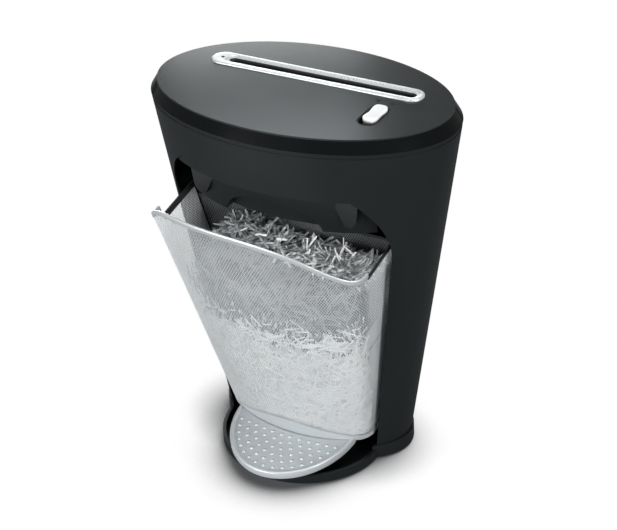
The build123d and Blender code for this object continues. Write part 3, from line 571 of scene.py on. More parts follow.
@dataclass(frozen=True)
class WireBasket:
    """Walls of the bin in woven wire: two sets of wires at 60 degrees to the floor.

    Wire ends run under the hem, the side strips, the apron and the neighbouring wall.
    """

    shape: BinShape
    pitch: float = 3.06
    wire: float = 0.62
    swing: float = 0.3
    hem: float = 8.0
    strips: Pair = (7.0, 4.0)
    side_rims: Pair = (322.0, 305.0)
    tuck: float = 0.4
    apron_tuck: float = 3.0
    lap: float = 0.8
    back_gap: float = 1.0
    flank_reach: float = 60.0
    rear_reach: float = 140.0
    run_points: int = 200

    def weave(self, name: str, surface: Surface, inside: Area, width: float, high: float) -> Piece:
        """Weave wires over a surface.

        Crossings stand in staggered rows. Wires go from each to the two nearest in the row above,
        by turns outside and inside the surface. Their section has three sides, ridge outwards.

        Args:
            name: Name of the piece.
            surface: Function from distance across and height to points.
            inside: Function from points, distances and heights to whether wires run there.
            width: Half width of the woven area.
            high: Highest height.

        Returns:
            The woven piece.
        """
        low = self.shape.low
        rise, half = self.pitch * math.sqrt(3) / 2, int(width / self.pitch) + 1
        rows = int((high - low) / rise) + 2
        row, column = np.meshgrid(np.arange(rows), np.arange(-half, half + 1), indexing="ij")
        across, z = (column + 0.5 * (row % 2)) * self.pitch, low + row * rise
        at = surface(across, z)
        sideways = surface(across + 0.5, z) - surface(across - 0.5, z)
        upwards = surface(across, z + 0.5) - surface(across, z - 0.5)
        normal = unit(np.cross(sideways, upwards))
        keep = inside(at, across, z)
        columns = at.shape[1]
        place = np.arange(columns)[None, :]
        points, faces = [], []
        for family, sign in ((0, 1.0), (1, -1.0)):
            lean = sideways * 0.5 * sign + upwards * math.sqrt(3) / 2
            beside = np.cross(normal, unit(lean))
            over = np.where(row % 2 == 0, sign, -sign)[..., None] * self.swing
            middle = at + normal * (over - self.shape.sheet / 2)
            section = np.stack(
                [
                    middle - beside * self.wire / 2 - normal * self.wire / 4,
                    middle + beside * self.wire / 2 - normal * self.wire / 4,
                    middle + normal * self.wire / 2,
                ],
                axis=2,
            )
            target = place + (row[:-1] % 2) - family
            fits = (target >= 0) & (target < columns)
            target = np.clip(target, 0, columns - 1)
            kept = fits & keep[:-1] & np.take_along_axis(keep[1:], target, 1)
            start = (row[:-1] * columns + place)[kept][:, None] * 3
            stop = (row[1:] * columns + target)[kept][:, None] * 3
            corner, following = np.array([0, 1, 2]), np.array([1, 2, 0])
            ring = [start + corner, start + following, stop + following, stop + corner]
            points.append(section.reshape(-1, 3))
            faces.append(np.stack(ring, axis=-1).reshape(-1, 4) + family * 3 * at[..., 0].size)
        used, numbers = np.unique(np.concatenate(faces), return_inverse=True)
        points = self.shape.opened(np.concatenate(points)[used])
        return make_piece(name, points, [numbers.reshape(-1, 4)])

    def build(self) -> list[Piece]:
        """Weave the four walls.

        Returns:
            Front, left side, right side and back.
        """
        shape, high = self.shape, max(z for _, z in self.shape.rim)
        middle_z = np.full(self.run_points, 0.5 * (shape.low + high))
        line = shape.front(np.linspace(0, 1, self.run_points), middle_z)
        run = np.linalg.norm(np.diff(line, axis=0), axis=1).sum()

        def front(across: Array, z: Array) -> Array:
            """Front surface by distance across at middle height."""
            return shape.front(np.clip(across / run, -1.0, 1.0), z)

        def in_front(at: Array, across: Array, z: Array) -> Array:
            """Between the apron and the hem."""
            under = z < shape.rim_height(at[..., 0]) - self.tuck * self.hem
            over = z > shape.apron_height(at[..., 0]) - self.apron_tuck
            return under & over & (np.abs(across) < run)

        wall = self.weave("wire_front", front, in_front, run, high)
        pieces = [dress(wall, WIRE, "wire_mesh", "bin", "bin_front")]
        for number, (name, side) in enumerate((("left", -1.0), ("right", 1.0))):
            rim = self.side_rims[number] - self.tuck * self.strips[number]

            def flank(across: Array, z: Array, side: float = side) -> Array:
                """Side surface by distance towards the viewer of that side."""
                y = side * across + shape.front_end / 2
                return np.stack([side * shape.half_width(z), y, z], axis=-1)

            def in_flank(at: Array, across: Array, z: Array, rim: float = rim) -> Array:
                """Between the front's end and the back, under the strip."""
                ahead = at[..., 1] > shape.front_edge(z) - self.lap * self.pitch
                return ahead & (at[..., 1] < shape.back - self.back_gap) & (z < rim)

            wall = self.weave(f"wire_side_{name}", flank, in_flank, self.flank_reach, rim)
            pieces.append(dress(wall, WIRE, "wire_mesh", "bin", f"bin_side_{name}"))

        def rear(across: Array, z: Array) -> Array:
            """Back surface, seen from behind."""
            return np.stack([-across, np.full_like(across, shape.back), z], axis=-1)

        def in_rear(at: Array, across: Array, z: Array) -> Array:
            """Between the sides, under the rim."""
            between = np.abs(across) < shape.half_width(z) - self.back_gap
            return between & (z < self.side_rims[1])

        wall = self.weave("wire_back", rear, in_rear, self.rear_reach, self.side_rims[1])
        # The back wall takes the darker copy of the wire: painted shade.
        pieces.append(dress(wall, WIRE_PAINTED_SHADE, "wire_mesh", "bin", "bin_back"))
        return pieces


@dataclass(frozen=True)
class HemBand:
    """Folded band along the front's wavy rim: a rounded flat section carried along the rim."""

    shape: BinShape
    height: float = 8.0
    outside: float = 0.6
    inside: float = 2.4
    rounding: float = 1.3
    first_z: float = 340.0
    rounds: int = 12
    steps: int = 360
    sides: int = 24

    def build(self) -> Piece:
        """Carry the section along the rim line, where the front surface meets the rim's height.

        The line is found by rounds: each takes the rim's height at the last round's points.

        Returns:
            The band.
        """
        share = np.linspace(-1.0, 1.0, self.steps)
        z = np.full(self.steps, self.first_z)
        for _ in range(self.rounds):
            z = self.shape.rim_height(self.shape.front(share, z)[:, 0])
        turn = np.linspace(0.0, 2 * math.pi, self.sides, endpoint=False)
        box = np.array([(self.outside + self.inside) / 2, self.height / 2]) - self.rounding
        section = np.stack([np.cos(turn), np.sin(turn)]) * self.rounding
        section = section + np.sign(np.round(section, 9)) * box[:, None]
        depth = section[0] + (self.outside - self.inside) / 2
        fall = section[1] - self.height / 2
        points = self.shape.front(share[:, None], z[:, None] + fall[None, :], -depth)
        band = ring_piece("hem_band", self.shape.opened(points))
        return dress(band, HEM_SILVER, "silver_hem", "bin", "bin_hem")


@dataclass(frozen=True)
class PedalTread:
    """Half-moon pedal: a rounded rim round a sunken tread, with rows of small domes inside it."""

    shape: BinShape
    half_width: float = 80.0
    depth: float = 98.0
    thickness: float = 5.0
    rim_height: float = 2.0
    rim_width: float = 4.0
    lip: float = 3.4
    back_y: float = -50.0
    top_z: float = 31.2
    slope: float = -4.6
    end_turn: float = 0.02
    inner_share: float = 0.985
    apron_tuck: float = 1.0
    rim_foot: float = 1.2
    seam_share: float = 0.022
    seam_depth: float = 1.0
    tread_start: float = 0.03
    tread_rows: int = 23
    under_gap: float = 0.2
    columns: int = 220
    dome_radius: float = 2.3
    dome_height: float = 1.5
    dome_gap: float = 12.0
    dome_margin: float = 7.0
    row_share: float = 0.88
    dome_tilts: tuple[float, ...] = (1.0, 0.8, 0.5, 0.22)
    dome_sides: int = 10
    dome_limit: int = 20
    row_points: int = 800

    def place(self, x: Array, forward: Array, height: Array) -> Array:
        """Put points of the tread's plane into the bin's open place.

        Args:
            x: Distance to the right.
            forward: Distance in front of the tread's straight back.
            height: Height over the tread.

        Returns:
            Points at rest.
        """
        lean = math.radians(self.slope)
        y = self.back_y - forward * math.cos(lean) - height * math.sin(lean)
        z = self.top_z - forward * math.sin(lean) + height * math.cos(lean)
        return self.shape.opened(np.stack([x, y, z], axis=-1))

    def apron_edge(self, x: Array) -> Array:
        """Distance forward at which the tread meets the bin's face."""
        a, b = self.shape.half_axes(np.full_like(x, self.top_z))
        oval = b * np.sqrt(np.clip(1 - (x / a) ** 2, 0.0, 1.0))
        return oval - self.shape.flush + self.back_y

    def rim_profile(self) -> Array:
        """Rim and lip from the tread to the underside: distance inside the outline, and height."""
        wide, high, low = self.rim_width, self.rim_height, -self.thickness - self.lip
        return np.array([
            (wide + 0.5, 0.15), (wide + 0.1, 0.7), (wide - 0.2, 1.5), (wide - 0.7, 1.9),
            (wide - 1.3, high), (1.6, high), (0.9, high - 0.25), (0.3, high - 0.8),
            (0.0, high - 1.6), (0.0, low + 1.5), (0.3, low + 0.6), (0.9, low + 0.1),
            (1.5, low), (2.1, low + 0.1), (2.6, low + 0.6), (2.8, -self.thickness),
        ])

    def build(self) -> Piece:
        """Build tread, rim, edge and underside as one closed grid, with the domes on it.

        Each column runs from the bin's face to the rim, over its rounded top, down the lip and
        back under. A dome is a cap of a sphere, repeated at every place.

        Returns:
            The pedal.
        """
        turn = np.linspace(self.end_turn, math.pi - self.end_turn, self.columns)[None, :]
        edge_x, edge_f = self.half_width * np.cos(turn), self.depth * np.sin(turn)
        normal_x, normal_f = np.cos(turn) / self.half_width, np.sin(turn) / self.depth
        length = np.hypot(normal_x, normal_f)
        normal_x, normal_f = normal_x / length, normal_f / length
        inner_x = self.inner_share * self.half_width * np.cos(turn)
        inner_f = np.minimum(self.apron_edge(inner_x) - self.apron_tuck, edge_f - self.rim_width)
        sunk = self.rim_width + self.rim_foot
        share = np.linspace(self.tread_start, 1.0, self.tread_rows)
        share = np.concatenate([[0.0, self.seam_share], share])[:, None]
        tread_x = inner_x + (edge_x - sunk * normal_x - inner_x) * share
        tread_f = inner_f + (edge_f - sunk * normal_f - inner_f) * share
        seam = np.where(share <= self.seam_share, -self.seam_depth, 0.0)
        profile = self.rim_profile()
        rim_x = edge_x - profile[:, :1] * normal_x
        rim_f = edge_f - profile[:, :1] * normal_f
        rim_h = np.broadcast_to(profile[:, 1:], rim_x.shape)
        under_f = np.minimum(inner_f, rim_f[-1:] - self.under_gap)
        under_h = np.full_like(inner_x, -self.thickness)
        x = np.concatenate([tread_x, rim_x, inner_x])
        forward = np.concatenate([tread_f, rim_f, under_f])
        height = np.concatenate([np.broadcast_to(seam, tread_x.shape), rim_h, under_h])
        rows = len(x)
        points = self.place(x, forward, height).reshape(-1, 3)
        faces = grid_faces(rows, self.columns, loop_rows=True)[:, ::-1]
        number = np.arange(rows) * self.columns
        ends = np.stack([number, number[::-1] + self.columns - 1])
        dome_points, dome_faces, dome_tops = self.domes()
        start = len(points)
        points = np.concatenate([points, dome_points])
        faces = [faces, dome_faces + start, dome_tops + start, ends]
        pedal = make_piece("pedal_tread", points, faces)
        return dress(pedal, SILVER_PLASTIC, "silver_plastic", "bin", "pedal")

    def dome_places(self) -> Array:
        """Places of the domes: rows at even distances inside the rim, staggered, off the apron.

        Returns:
            Distance to the right and forward of each dome.
        """
        places = []
        turn = np.linspace(0.0, math.pi, self.row_points)
        first = self.rim_width + self.dome_margin
        rows = np.arange(first, self.depth, self.row_share * self.dome_gap)
        for number, inset in enumerate(rows):
            x = (self.half_width - inset) * np.cos(turn)
            forward = (self.depth - inset) * np.sin(turn)
            along = np.concatenate([[0.0], np.cumsum(np.hypot(np.diff(x), np.diff(forward)))])
            shift = (number % 2) * self.dome_gap / 2 + along[-1] / 2
            steps = np.arange(-self.dome_limit, self.dome_limit + 1) * self.dome_gap + shift
            steps = steps[(steps > 0) & (steps < along[-1])]
            row = np.stack([np.interp(steps, along, x), np.interp(steps, along, forward)], axis=1)
            places.append(row[row[:, 1] > self.apron_edge(row[:, 0]) + self.dome_margin])
        return np.concatenate(places)

    def domes(self) -> tuple[Array, Array, Array]:
        """Repeat a low round cap over the dome places.

        Returns:
            Points, quads of the caps and triangles of their tops.
        """
        places = self.dome_places()
        ring = np.linspace(0.0, 2 * math.pi, self.dome_sides, endpoint=False)
        tilt = np.array(self.dome_tilts)
        radius = self.dome_radius * np.sin(tilt * math.pi / 2)
        level = self.dome_height * np.cos(tilt * math.pi / 2)
        x = places[:, 0, None, None] + radius[:, None] * np.cos(ring)
        forward = places[:, 1, None, None] + radius[:, None] * np.sin(ring)
        height = np.broadcast_to(level[:, None], x.shape)
        rings = self.place(x, forward, height).reshape(len(places), -1, 3)
        peak = np.full(len(places), self.dome_height)
        tops = self.place(places[:, 0], places[:, 1], peak)[:, None, :]
        points = np.concatenate([rings, tops], axis=1)
        each = np.arange(len(places))[:, None, None] * points.shape[1]
        quads = grid_faces(len(tilt), self.dome_sides, loop_columns=True)[:, ::-1]
        last = (len(tilt) - 1) * self.dome_sides + np.arange(self.dome_sides)
        fan = np.stack([np.roll(last, -1), last, np.full_like(last, points.shape[1] - 1)], axis=1)
        return points.reshape(-1, 3), (quads + each).reshape(-1, 4), (fan + each).reshape(-1, 3)


@dataclass(frozen=True)
class StripLay:
    """How strips of paper lie, as drawn shut, one row per strip.

    A strip has its middle, its direction, the way out of the surface under it, its bend out of
    that surface per millimetre, its length and its width.
    """

    at: Array
    along: Array
    out: Array
    wrap: Array
    length: Array
    width: Array

    def kept(self, keep: Array) -> "StripLay":
        """The strips that a mask keeps."""
        return StripLay(*(getattr(self, field.name)[keep] for field in fields(self)))


@dataclass(frozen=True)
class PaperPile:
    """Shredded paper in the bin: a packed core, with curled strips against the wire and on top.

    Pairs are the two ends of a range. A mound has its middle, reach and height; the fall to the
    left has its start, reach and depth. Depths and lengths come for packed, then loose strips.
    """

    shape: BinShape
    seed: int = 11
    packed_z: float = 205.0
    loose_z: float = 288.0
    mound_low: float = 12.0
    mound_y: Pair = (-22.0, 42.0)
    left_mound: Triple = (-45.0, 55.0, 28.0)
    right_mound: Triple = (70.0, 55.0, 11.0)
    left_fall: Triple = (-62.0, 60.0, 46.0)
    slump_depth: float = 34.0
    slump_share: float = 0.85
    slump_least: float = 20.0
    top_inset: float = 16.0
    core_ends: Pair = (4.0, -44.0)
    core_inset: Pair = (5.4, 20.0)
    core_loose: Pair = (-30.0, 90.0)
    core_back: float = 6.0
    core_columns: int = 121
    core_levels: int = 40
    core_rear: int = 30
    core_cover: int = 22
    core_hole: float = 0.03
    core_blend: float = 6.0
    core_sunk: float = 6.0
    core_rough: float = 3.0
    core_waves: Triple = (0.31, 0.17, 0.27)
    core_ragged: float = 22.0
    front_count: int = 5600
    front_steps: int = 5
    front_share: float = 0.97
    front_slope: float = 0.02
    front_ends: Pair = (6.0, -2.0)
    front_ragged: float = 20.0
    front_depths: tuple[Pair, Pair] = ((3.0, 5.4), (8.0, 26.0))
    front_lengths: tuple[Pair, Pair] = ((8.0, 24.0), (12.0, 32.0))
    loose_share: float = 0.2
    front_width: Pair = (1.4, 2.2)
    top_count: int = 1900
    top_steps: int = 7
    top_length: Pair = (14.0, 38.0)
    top_width: Pair = (1.8, 2.6)
    top_lean: float = 0.35
    top_back: float = 8.0
    top_bury: Pair = (-5.0, 3.0)
    dim_x: Pair = (-45.0, 75.0)
    dim_share: Pair = (0.92, 0.5)
    bright_slump: float = 7.0
    dim_slump: float = 22.0
    wall_gap: float = 1.0
    floor_gap: float = 3.5
    thickness: float = 0.25
    bend: float = 0.016
    lift: float = 0.010
    roll: float = 0.8
    twist: float = 0.03
    twist_reach: float = 12.0

    def top(self, x: Array, y: Array) -> Array:
        """Height of the pile as drawn shut: two mounds along a ridge, falling to the left."""
        ridge = np.exp(-(((y - self.mound_y[0]) / self.mound_y[1]) ** 2))
        left, right = (
            height * np.exp(-(((x - middle) / wide) ** 2))
            for middle, wide, height in (self.left_mound, self.right_mound)
        )
        return self.loose_z - self.mound_low - self.fall(x) + ridge * (left + right)

    def slump(self, x: Array, behind: Array) -> Array:
        """How much lower the pile lies close behind the front, wider where the rim stands high."""
        rise = np.maximum(self.shape.rim_height(x) - self.loose_z, self.slump_least)
        return self.slump_depth * ease(np.clip(1 - behind / (self.slump_share * rise), 0.0, 1.0))

    def fall(self, x: Array) -> Array:
        """How much lower the pile lies towards the left side."""
        start, reach, depth = self.left_fall
        return depth * ease(np.clip((start - x) / reach, 0.0, 1.0))

    def core(self) -> Piece:
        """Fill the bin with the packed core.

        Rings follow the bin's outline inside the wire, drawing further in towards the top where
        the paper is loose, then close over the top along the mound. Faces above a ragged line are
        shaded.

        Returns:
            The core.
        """
        share = np.linspace(-1.0, 1.0, self.core_columns)
        low, high = self.shape.low + self.core_ends[0], self.loose_z + self.core_ends[1]
        level = np.linspace(low, high, self.core_levels)
        start, reach = self.core_loose
        loose = np.clip((level - self.packed_z - start) / reach, 0.0, 1.0)
        inset = self.core_inset[0] + self.core_inset[1] * ease(loose)
        front = self.shape.front(share[None, :], level[:, None], inset[:, None])
        back = np.linspace(0.0, 1.0, self.core_rear)[1:-1]
        corner_left, corner_right = front[:, :1].copy(), front[:, -1:].copy()
        corner_left[..., 1] = corner_right[..., 1] = self.shape.back - self.core_back
        rear = corner_right + (corner_left - corner_right) * back[None, :, None]
        ring = np.concatenate([front, corner_right, rear, corner_left], axis=1)
        ring[..., 2] -= self.fall(ring[..., 0]) * (ring[..., 2] - low) / (high - low)
        close = np.linspace(1.0, self.core_hole, self.core_cover)[1:, None, None]
        middle = ring[-1].mean(axis=0)
        cover = middle + (ring[-1][None] - middle) * close
        x, y = cover[..., 0], cover[..., 1]
        first, second, third = self.core_waves
        rough = self.core_rough * np.sin(x * first + 2.0 * np.sin(y * second)) * np.sin(y * third)
        front_y = self.shape.front(np.zeros(1), np.full(1, self.loose_z))[0, 1]
        behind = np.clip(y - front_y - self.top_inset, 0.0, None)
        mound = self.top(x, y) - self.core_sunk + rough - self.slump(x, behind)
        blend = np.clip((1 - close[..., 0]) * self.core_blend, 0.0, 1.0)
        cover[..., 2] = ring[-1, :, 2] + (mound - ring[-1, :, 2]) * blend
        rings = np.concatenate([ring, cover])
        rows, count = rings.shape[:2]
        core = ring_piece("paper_core", self.shape.opened(rings))
        # The core's grey patches are painted shade between the pressed shreds.
        dress(core, PAPER_PACKED_GAP_SHADE, "white_plastic", "bin")
        height = np.append(level, np.full(rows - len(level) - 1, self.loose_z))[:, None]
        rng = np.random.default_rng(self.seed + 1)
        ragged = height + rng.normal(0.0, self.core_ragged, (len(height), count))
        second_finish(core, PAPER_SHADE, np.append((ragged > self.packed_z).ravel(), [False, True]))
        return core

    def strips(self, name: str, finish: Finish, lay: StripLay, steps: int) -> Piece:
        """Lay thin curled strips on a surface.

        The middle line of a strip is a circle's arc that bends in the surface and out of it; its
        section is a thin flat box that rolls a little along the way. Strips that would reach
        through the wire are left out.

        Args:
            name: Name of the piece.
            finish: Finish of the paper.
            lay: How the strips lie.
            steps: Points along a strip.

        Returns:
            The strips as one piece.
        """
        count = len(lay.at)
        rng = np.random.default_rng(self.seed + count)
        bend = rng.normal(0.0, self.bend, (count, 1))
        lift = lay.wrap[:, None] + rng.normal(0.0, self.lift, (count, 1))
        roll = rng.normal(0.0, self.roll, (count, 1))
        reach = np.linspace(-self.twist_reach, self.twist_reach, steps)
        roll = roll + rng.normal(0.0, self.twist, (count, 1)) * reach
        s = np.linspace(-0.5, 0.5, steps) * lay.length[:, None]
        at, along, out = (values[:, None, :] for values in (lay.at, lay.along, lay.out))
        side = np.cross(lay.out, lay.along)[:, None, :]
        path = (
            at
            + along * (s * (1 - (s * bend) ** 2 / 6))[..., None]
            + side * (bend * s**2 / 2)[..., None]
            + out * (lift * s**2 / 2)[..., None]
        )
        flat = side * np.cos(roll)[..., None] + out * np.sin(roll)[..., None]
        up = out * np.cos(roll)[..., None] - side * np.sin(roll)[..., None]
        flat, up = flat * (lay.width[:, None, None] / 2), up * (self.thickness / 2)
        section = [path - flat - up, path + flat - up, path + flat + up, path - flat + up]
        section = np.stack(section, axis=2)
        section = section[self.inside(section).all(axis=(1, 2))]
        points = self.shape.opened(section.reshape(-1, 3))
        each = np.arange(len(section))[:, None, None] * steps * 4
        faces = (grid_faces(steps, 4, loop_columns=True) + each).reshape(-1, 4)
        ends = (cap_faces(steps, 4) + each).reshape(-1, 4)
        piece = make_piece(name, points, [faces, ends], smooth=False)
        return dress(piece, finish, "white_plastic", "bin")

    def inside(self, points: Array) -> Array:
        """Whether points drawn shut lie clear inside the bin's walls and floor."""
        x, y, z = points[..., 0], points[..., 1], points[..., 2]
        a, b = self.shape.half_axes(z)
        gap = self.shape.flush + self.shape.sheet + self.wall_gap
        oval = (x / (a - gap)) ** 2 + (y / (b - gap)) ** 2 < 1
        sides = (np.abs(x) < self.shape.half_width(z) - gap) & (y < self.shape.back - gap)
        return oval & sides & (z > self.shape.low + self.floor_gap)

    def front_layers(self, rng: np.random.Generator) -> list[Piece]:
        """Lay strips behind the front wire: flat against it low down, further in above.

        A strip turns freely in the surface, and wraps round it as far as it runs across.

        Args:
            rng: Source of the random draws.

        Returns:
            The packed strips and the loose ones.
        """
        count = self.front_count
        share = rng.uniform(-self.front_share, self.front_share, count)
        low, high = self.shape.low + self.front_ends[0], self.loose_z + self.front_ends[1]
        z = low + rng.uniform(0.0, 1.0, count) * (high - low)
        packed = z < self.packed_z + rng.normal(0.0, self.front_ragged, count)
        inset = np.where(packed, *(rng.uniform(*span, count) for span in self.front_depths))
        beside = (0.0, self.front_slope, -self.front_slope)
        at, ahead, behind = (self.shape.front(share + by, z, inset) for by in beside)
        reach = np.linalg.norm(ahead - behind, axis=1, keepdims=True)
        across = (ahead - behind) / reach
        out = np.cross(across, np.array([[0.0, 0.0, 1.0]]))
        turn = rng.uniform(0.0, math.pi, count)[:, None]
        along = across * np.cos(turn) + np.cross(out, across) * np.sin(turn)
        curve = ((ahead - 2 * at + behind) * out).sum(axis=1) / (reach[:, 0] / 2) ** 2
        wrap = curve * np.cos(turn[:, 0]) ** 2
        loose = ~packed & (rng.uniform(0, 1, count) < self.loose_share)
        loose &= z < self.loose_z - self.fall(at[:, 0])
        length = np.where(packed, *(rng.uniform(*span, count) for span in self.front_lengths))
        width = rng.uniform(*self.front_width, count)
        lay = StripLay(at, along, out, wrap, length, width)
        return [
            self.strips("paper_strips_front", PAPER, lay.kept(packed), self.front_steps),
            # The loose strips take the grey copy of the paper: painted shade.
            self.strips("paper_strips_loose", PAPER_GREY_PAINTED_SHADE, lay.kept(loose), self.front_steps),
        ]

    def top_layers(self, rng: np.random.Generator) -> list[Piece]:
        """Lay strips over the mound, leaning every way, most of the left ones grey with painted
        shade.

        Args:
            rng: Source of the random draws.

        Returns:
            The bright strips and the grey ones with painted shade.
        """
        count = self.top_count
        level = np.full(count, self.loose_z)
        edge = self.shape.front(rng.uniform(-1.0, 1.0, count), level, self.top_inset)
        x, front_y = edge[:, 0], edge[:, 1]
        depth = self.shape.back - self.top_back - front_y
        y = front_y + depth * rng.uniform(0.0, 1.0, count)
        sunk = self.slump(x, y - front_y)
        z = self.top(x, y) - sunk + rng.uniform(*self.top_bury, count)
        lean = rng.normal(0.0, self.top_lean, (count, 3)) * np.array([1.0, 1.0, 0.0])
        out = unit(np.array([0.0, 0.0, 1.0]) + lean)
        turn = rng.uniform(0.0, 2 * math.pi, count)
        heading = np.stack([np.cos(turn), np.sin(turn), np.zeros(count)], axis=1)
        along = unit(np.cross(out, heading))
        length, width = rng.uniform(*self.top_length, count), rng.uniform(*self.top_width, count)
        # Painted shade: towards the left, under the head, more strips take the grey copy of the
        # paper.
        dim = rng.uniform(0.0, 1.0, count) < np.interp(x, self.dim_x, self.dim_share)
        at = np.stack([x, y, z], axis=1)
        lay = StripLay(at, along, out, np.zeros(count), length, width)
        bright, dim = (sunk < self.bright_slump) & ~dim, (sunk < self.dim_slump) & dim
        return [
            self.strips("paper_strips_top", PAPER, lay.kept(bright), self.top_steps),
            self.strips("paper_strips_top_shaded", PAPER_GREY_PAINTED_SHADE, lay.kept(dim), self.top_steps),
        ]

    def build(self) -> list[Piece]:
        """Build the core, the strips behind the front wire and those on top.

        Returns:
            The core and the four sets of strips.
        """
        rng = np.random.default_rng(self.seed)
        return [self.core(), *self.front_layers(rng), *self.top_layers(rng)]


@dataclass(frozen=True)
class SlotBezel:
    """Bright raised surround of the paper slot: rows between a long outline and the slot's own."""

    outline: Pair = (270.0, 29.0)
    mouth: Pair = (235.0, 7.0)
    mouth_x: float = 7.0
    slot_y: float = 30.0
    low_z: float = 453.4
    top_z: float = 461.0
    throat_rows: int = 4
    end_points: int = 25

    def ring(self, size: Pair, middle_x: float, inset: float) -> Array:
        """Points round a straight-sided outline with half-round ends.

        Args:
            size: Overall length and width.
            middle_x: Middle of the outline.
            inset: How far inside it the ring lies.

        Returns:
            Distance to the right and to the back of each point.
        """
        radius, half = size[1] / 2 - inset, (size[0] - size[1]) / 2
        turn = np.linspace(-math.pi / 2, math.pi / 2, self.end_points)
        straight = np.linspace(-1.0, 1.0, self.end_points)[1:-1]
        right = np.stack([half + radius * np.cos(turn), radius * np.sin(turn)], axis=1)
        back = np.stack([-straight * half, np.full(len(straight), radius)], axis=1)
        return np.concatenate([right, back, -right, -back]) + np.array([middle_x, self.slot_y])

    def build(self) -> Piece:
        """Stack rings from the outer wall over the rounded edge and the bevel into the dark throat.

        Returns:
            The surround.
        """
        low, top = self.low_z, self.top_z
        outer = [(0.0, low), (0.0, top - 1.0), (0.25, top - 0.45), (0.8, top - 0.1), (1.6, top)]
        inner = [
            (-7.0, top), (-6.6, top - 0.1), (-6.4, top - 0.8), (-6.0, top - 1.0), (-2.4, top - 1.2),
            (-1.9, top - 1.4), (-0.5, top - 2.8), (0.0, top - 3.4), (0.0, low),
        ]
        rows = [(self.ring(self.outline, 0.0, inset), z) for inset, z in outer]
        rows += [(self.ring(self.mouth, self.mouth_x, inset), z) for inset, z in inner]
        rings = np.stack([np.column_stack([at, np.full(len(at), z)]) for at, z in rows])
        piece = ring_piece("slot_bezel", rings, closed=True)
        dress(piece, BRIGHT_TRIM, "bright_trim", "housing", "slot_trim")
        row = np.arange(len(piece.data.polygons)) // rings.shape[1]
        second_finish(piece, WELL_BLACK, row >= len(rows) - self.throat_rows)
        return piece


@dataclass(frozen=True)
class SwitchCap:
    """White slide switch: a waisted outline with a rounded edge and a dished top."""

    middle: Pair = (104.5, -25.4)
    length: float = 36.0
    width: float = 20.0
    waist: float = 15.5
    waist_reach: float = 0.3
    squareness: float = 0.55
    crowding: float = 1.6
    low_z: float = 450.8
    top_z: float = 463.0
    dish: float = 1.8
    sides: int = 72
    edge: tuple[Pair, ...] = (
        (1.0, -2.2), (0.97, -0.9), (0.9, -0.3), (0.8, 0.0), (0.6, 0.0), (0.35, 0.0), (0.1, 0.0)
    )

    def build(self) -> Piece:
        """Stack rings of the waisted outline, drawn in towards a dished top.

        Returns:
            The cap.
        """
        turn = np.linspace(0.0, 2 * math.pi, self.sides, endpoint=False)
        half, round_end = (self.length - self.width) / 2, self.width / 2 * np.sin(turn)
        along = half * np.tanh(self.crowding * np.sin(turn)) / math.tanh(self.crowding) + round_end
        hollow = np.exp(-((along / (self.waist_reach * self.length)) ** 2))
        pinch = 1 - (1 - self.waist / self.width) * hollow
        bulge = np.sign(np.cos(turn)) * np.abs(np.cos(turn)) ** self.squareness
        across = self.width / 2 * bulge * pinch
        share, drop = (values[:, None] for values in np.array(self.edge).T)
        dish = self.dish * (1 - (along * share / (self.length / 2)) ** 2)
        z = np.concatenate([np.full((1, self.sides), self.low_z), self.top_z + drop - dish])
        share = np.concatenate([[[1.0]], share])
        x, y = self.middle[0] + across * share, self.middle[1] + along * share
        piece = ring_piece("switch_cap", np.stack([x, y, z], axis=-1))
        return dress(piece, WHITE_PLASTIC, "white_plastic", "switch", "switch_button")


def finish_nodes() -> None:
    """Give every CAD node the finish of its slot, also where a new piece stands for it."""
    slots = {part["node"]: part["material_slot"] for part in frame["record"]["subparts"]}
    for name, node in frame["nodes"].items():
        finish = SLOT_FINISHES[slots[name]]
        node.data.materials.clear()
        node.data.materials.append(finish.material())
        log.info("%s: %s", name, finish.name)


@dataclass(frozen=True)
class Lamp:
    """An oblong soft lamp that looks at the object's middle, in metres and watts."""

    name: str
    place: Triple
    size: Pair
    power: float
    target: Triple = (0.0, 0.0, 0.25)

    def build(self) -> None:
        """Hang the lamp and turn it to its target."""
        data = bpy.data.lights.new(self.name, "AREA")
        data.shape, data.energy = "RECTANGLE", self.power
        data.size, data.size_y = self.size
        lamp = add_object(self.name, data)
        lamp.location = self.place
        lamp.rotation_mode = "QUATERNION"
        aim = Vector(self.target) - Vector(self.place)
        lamp.rotation_quaternion = aim.to_track_quat("-Z", "Y")


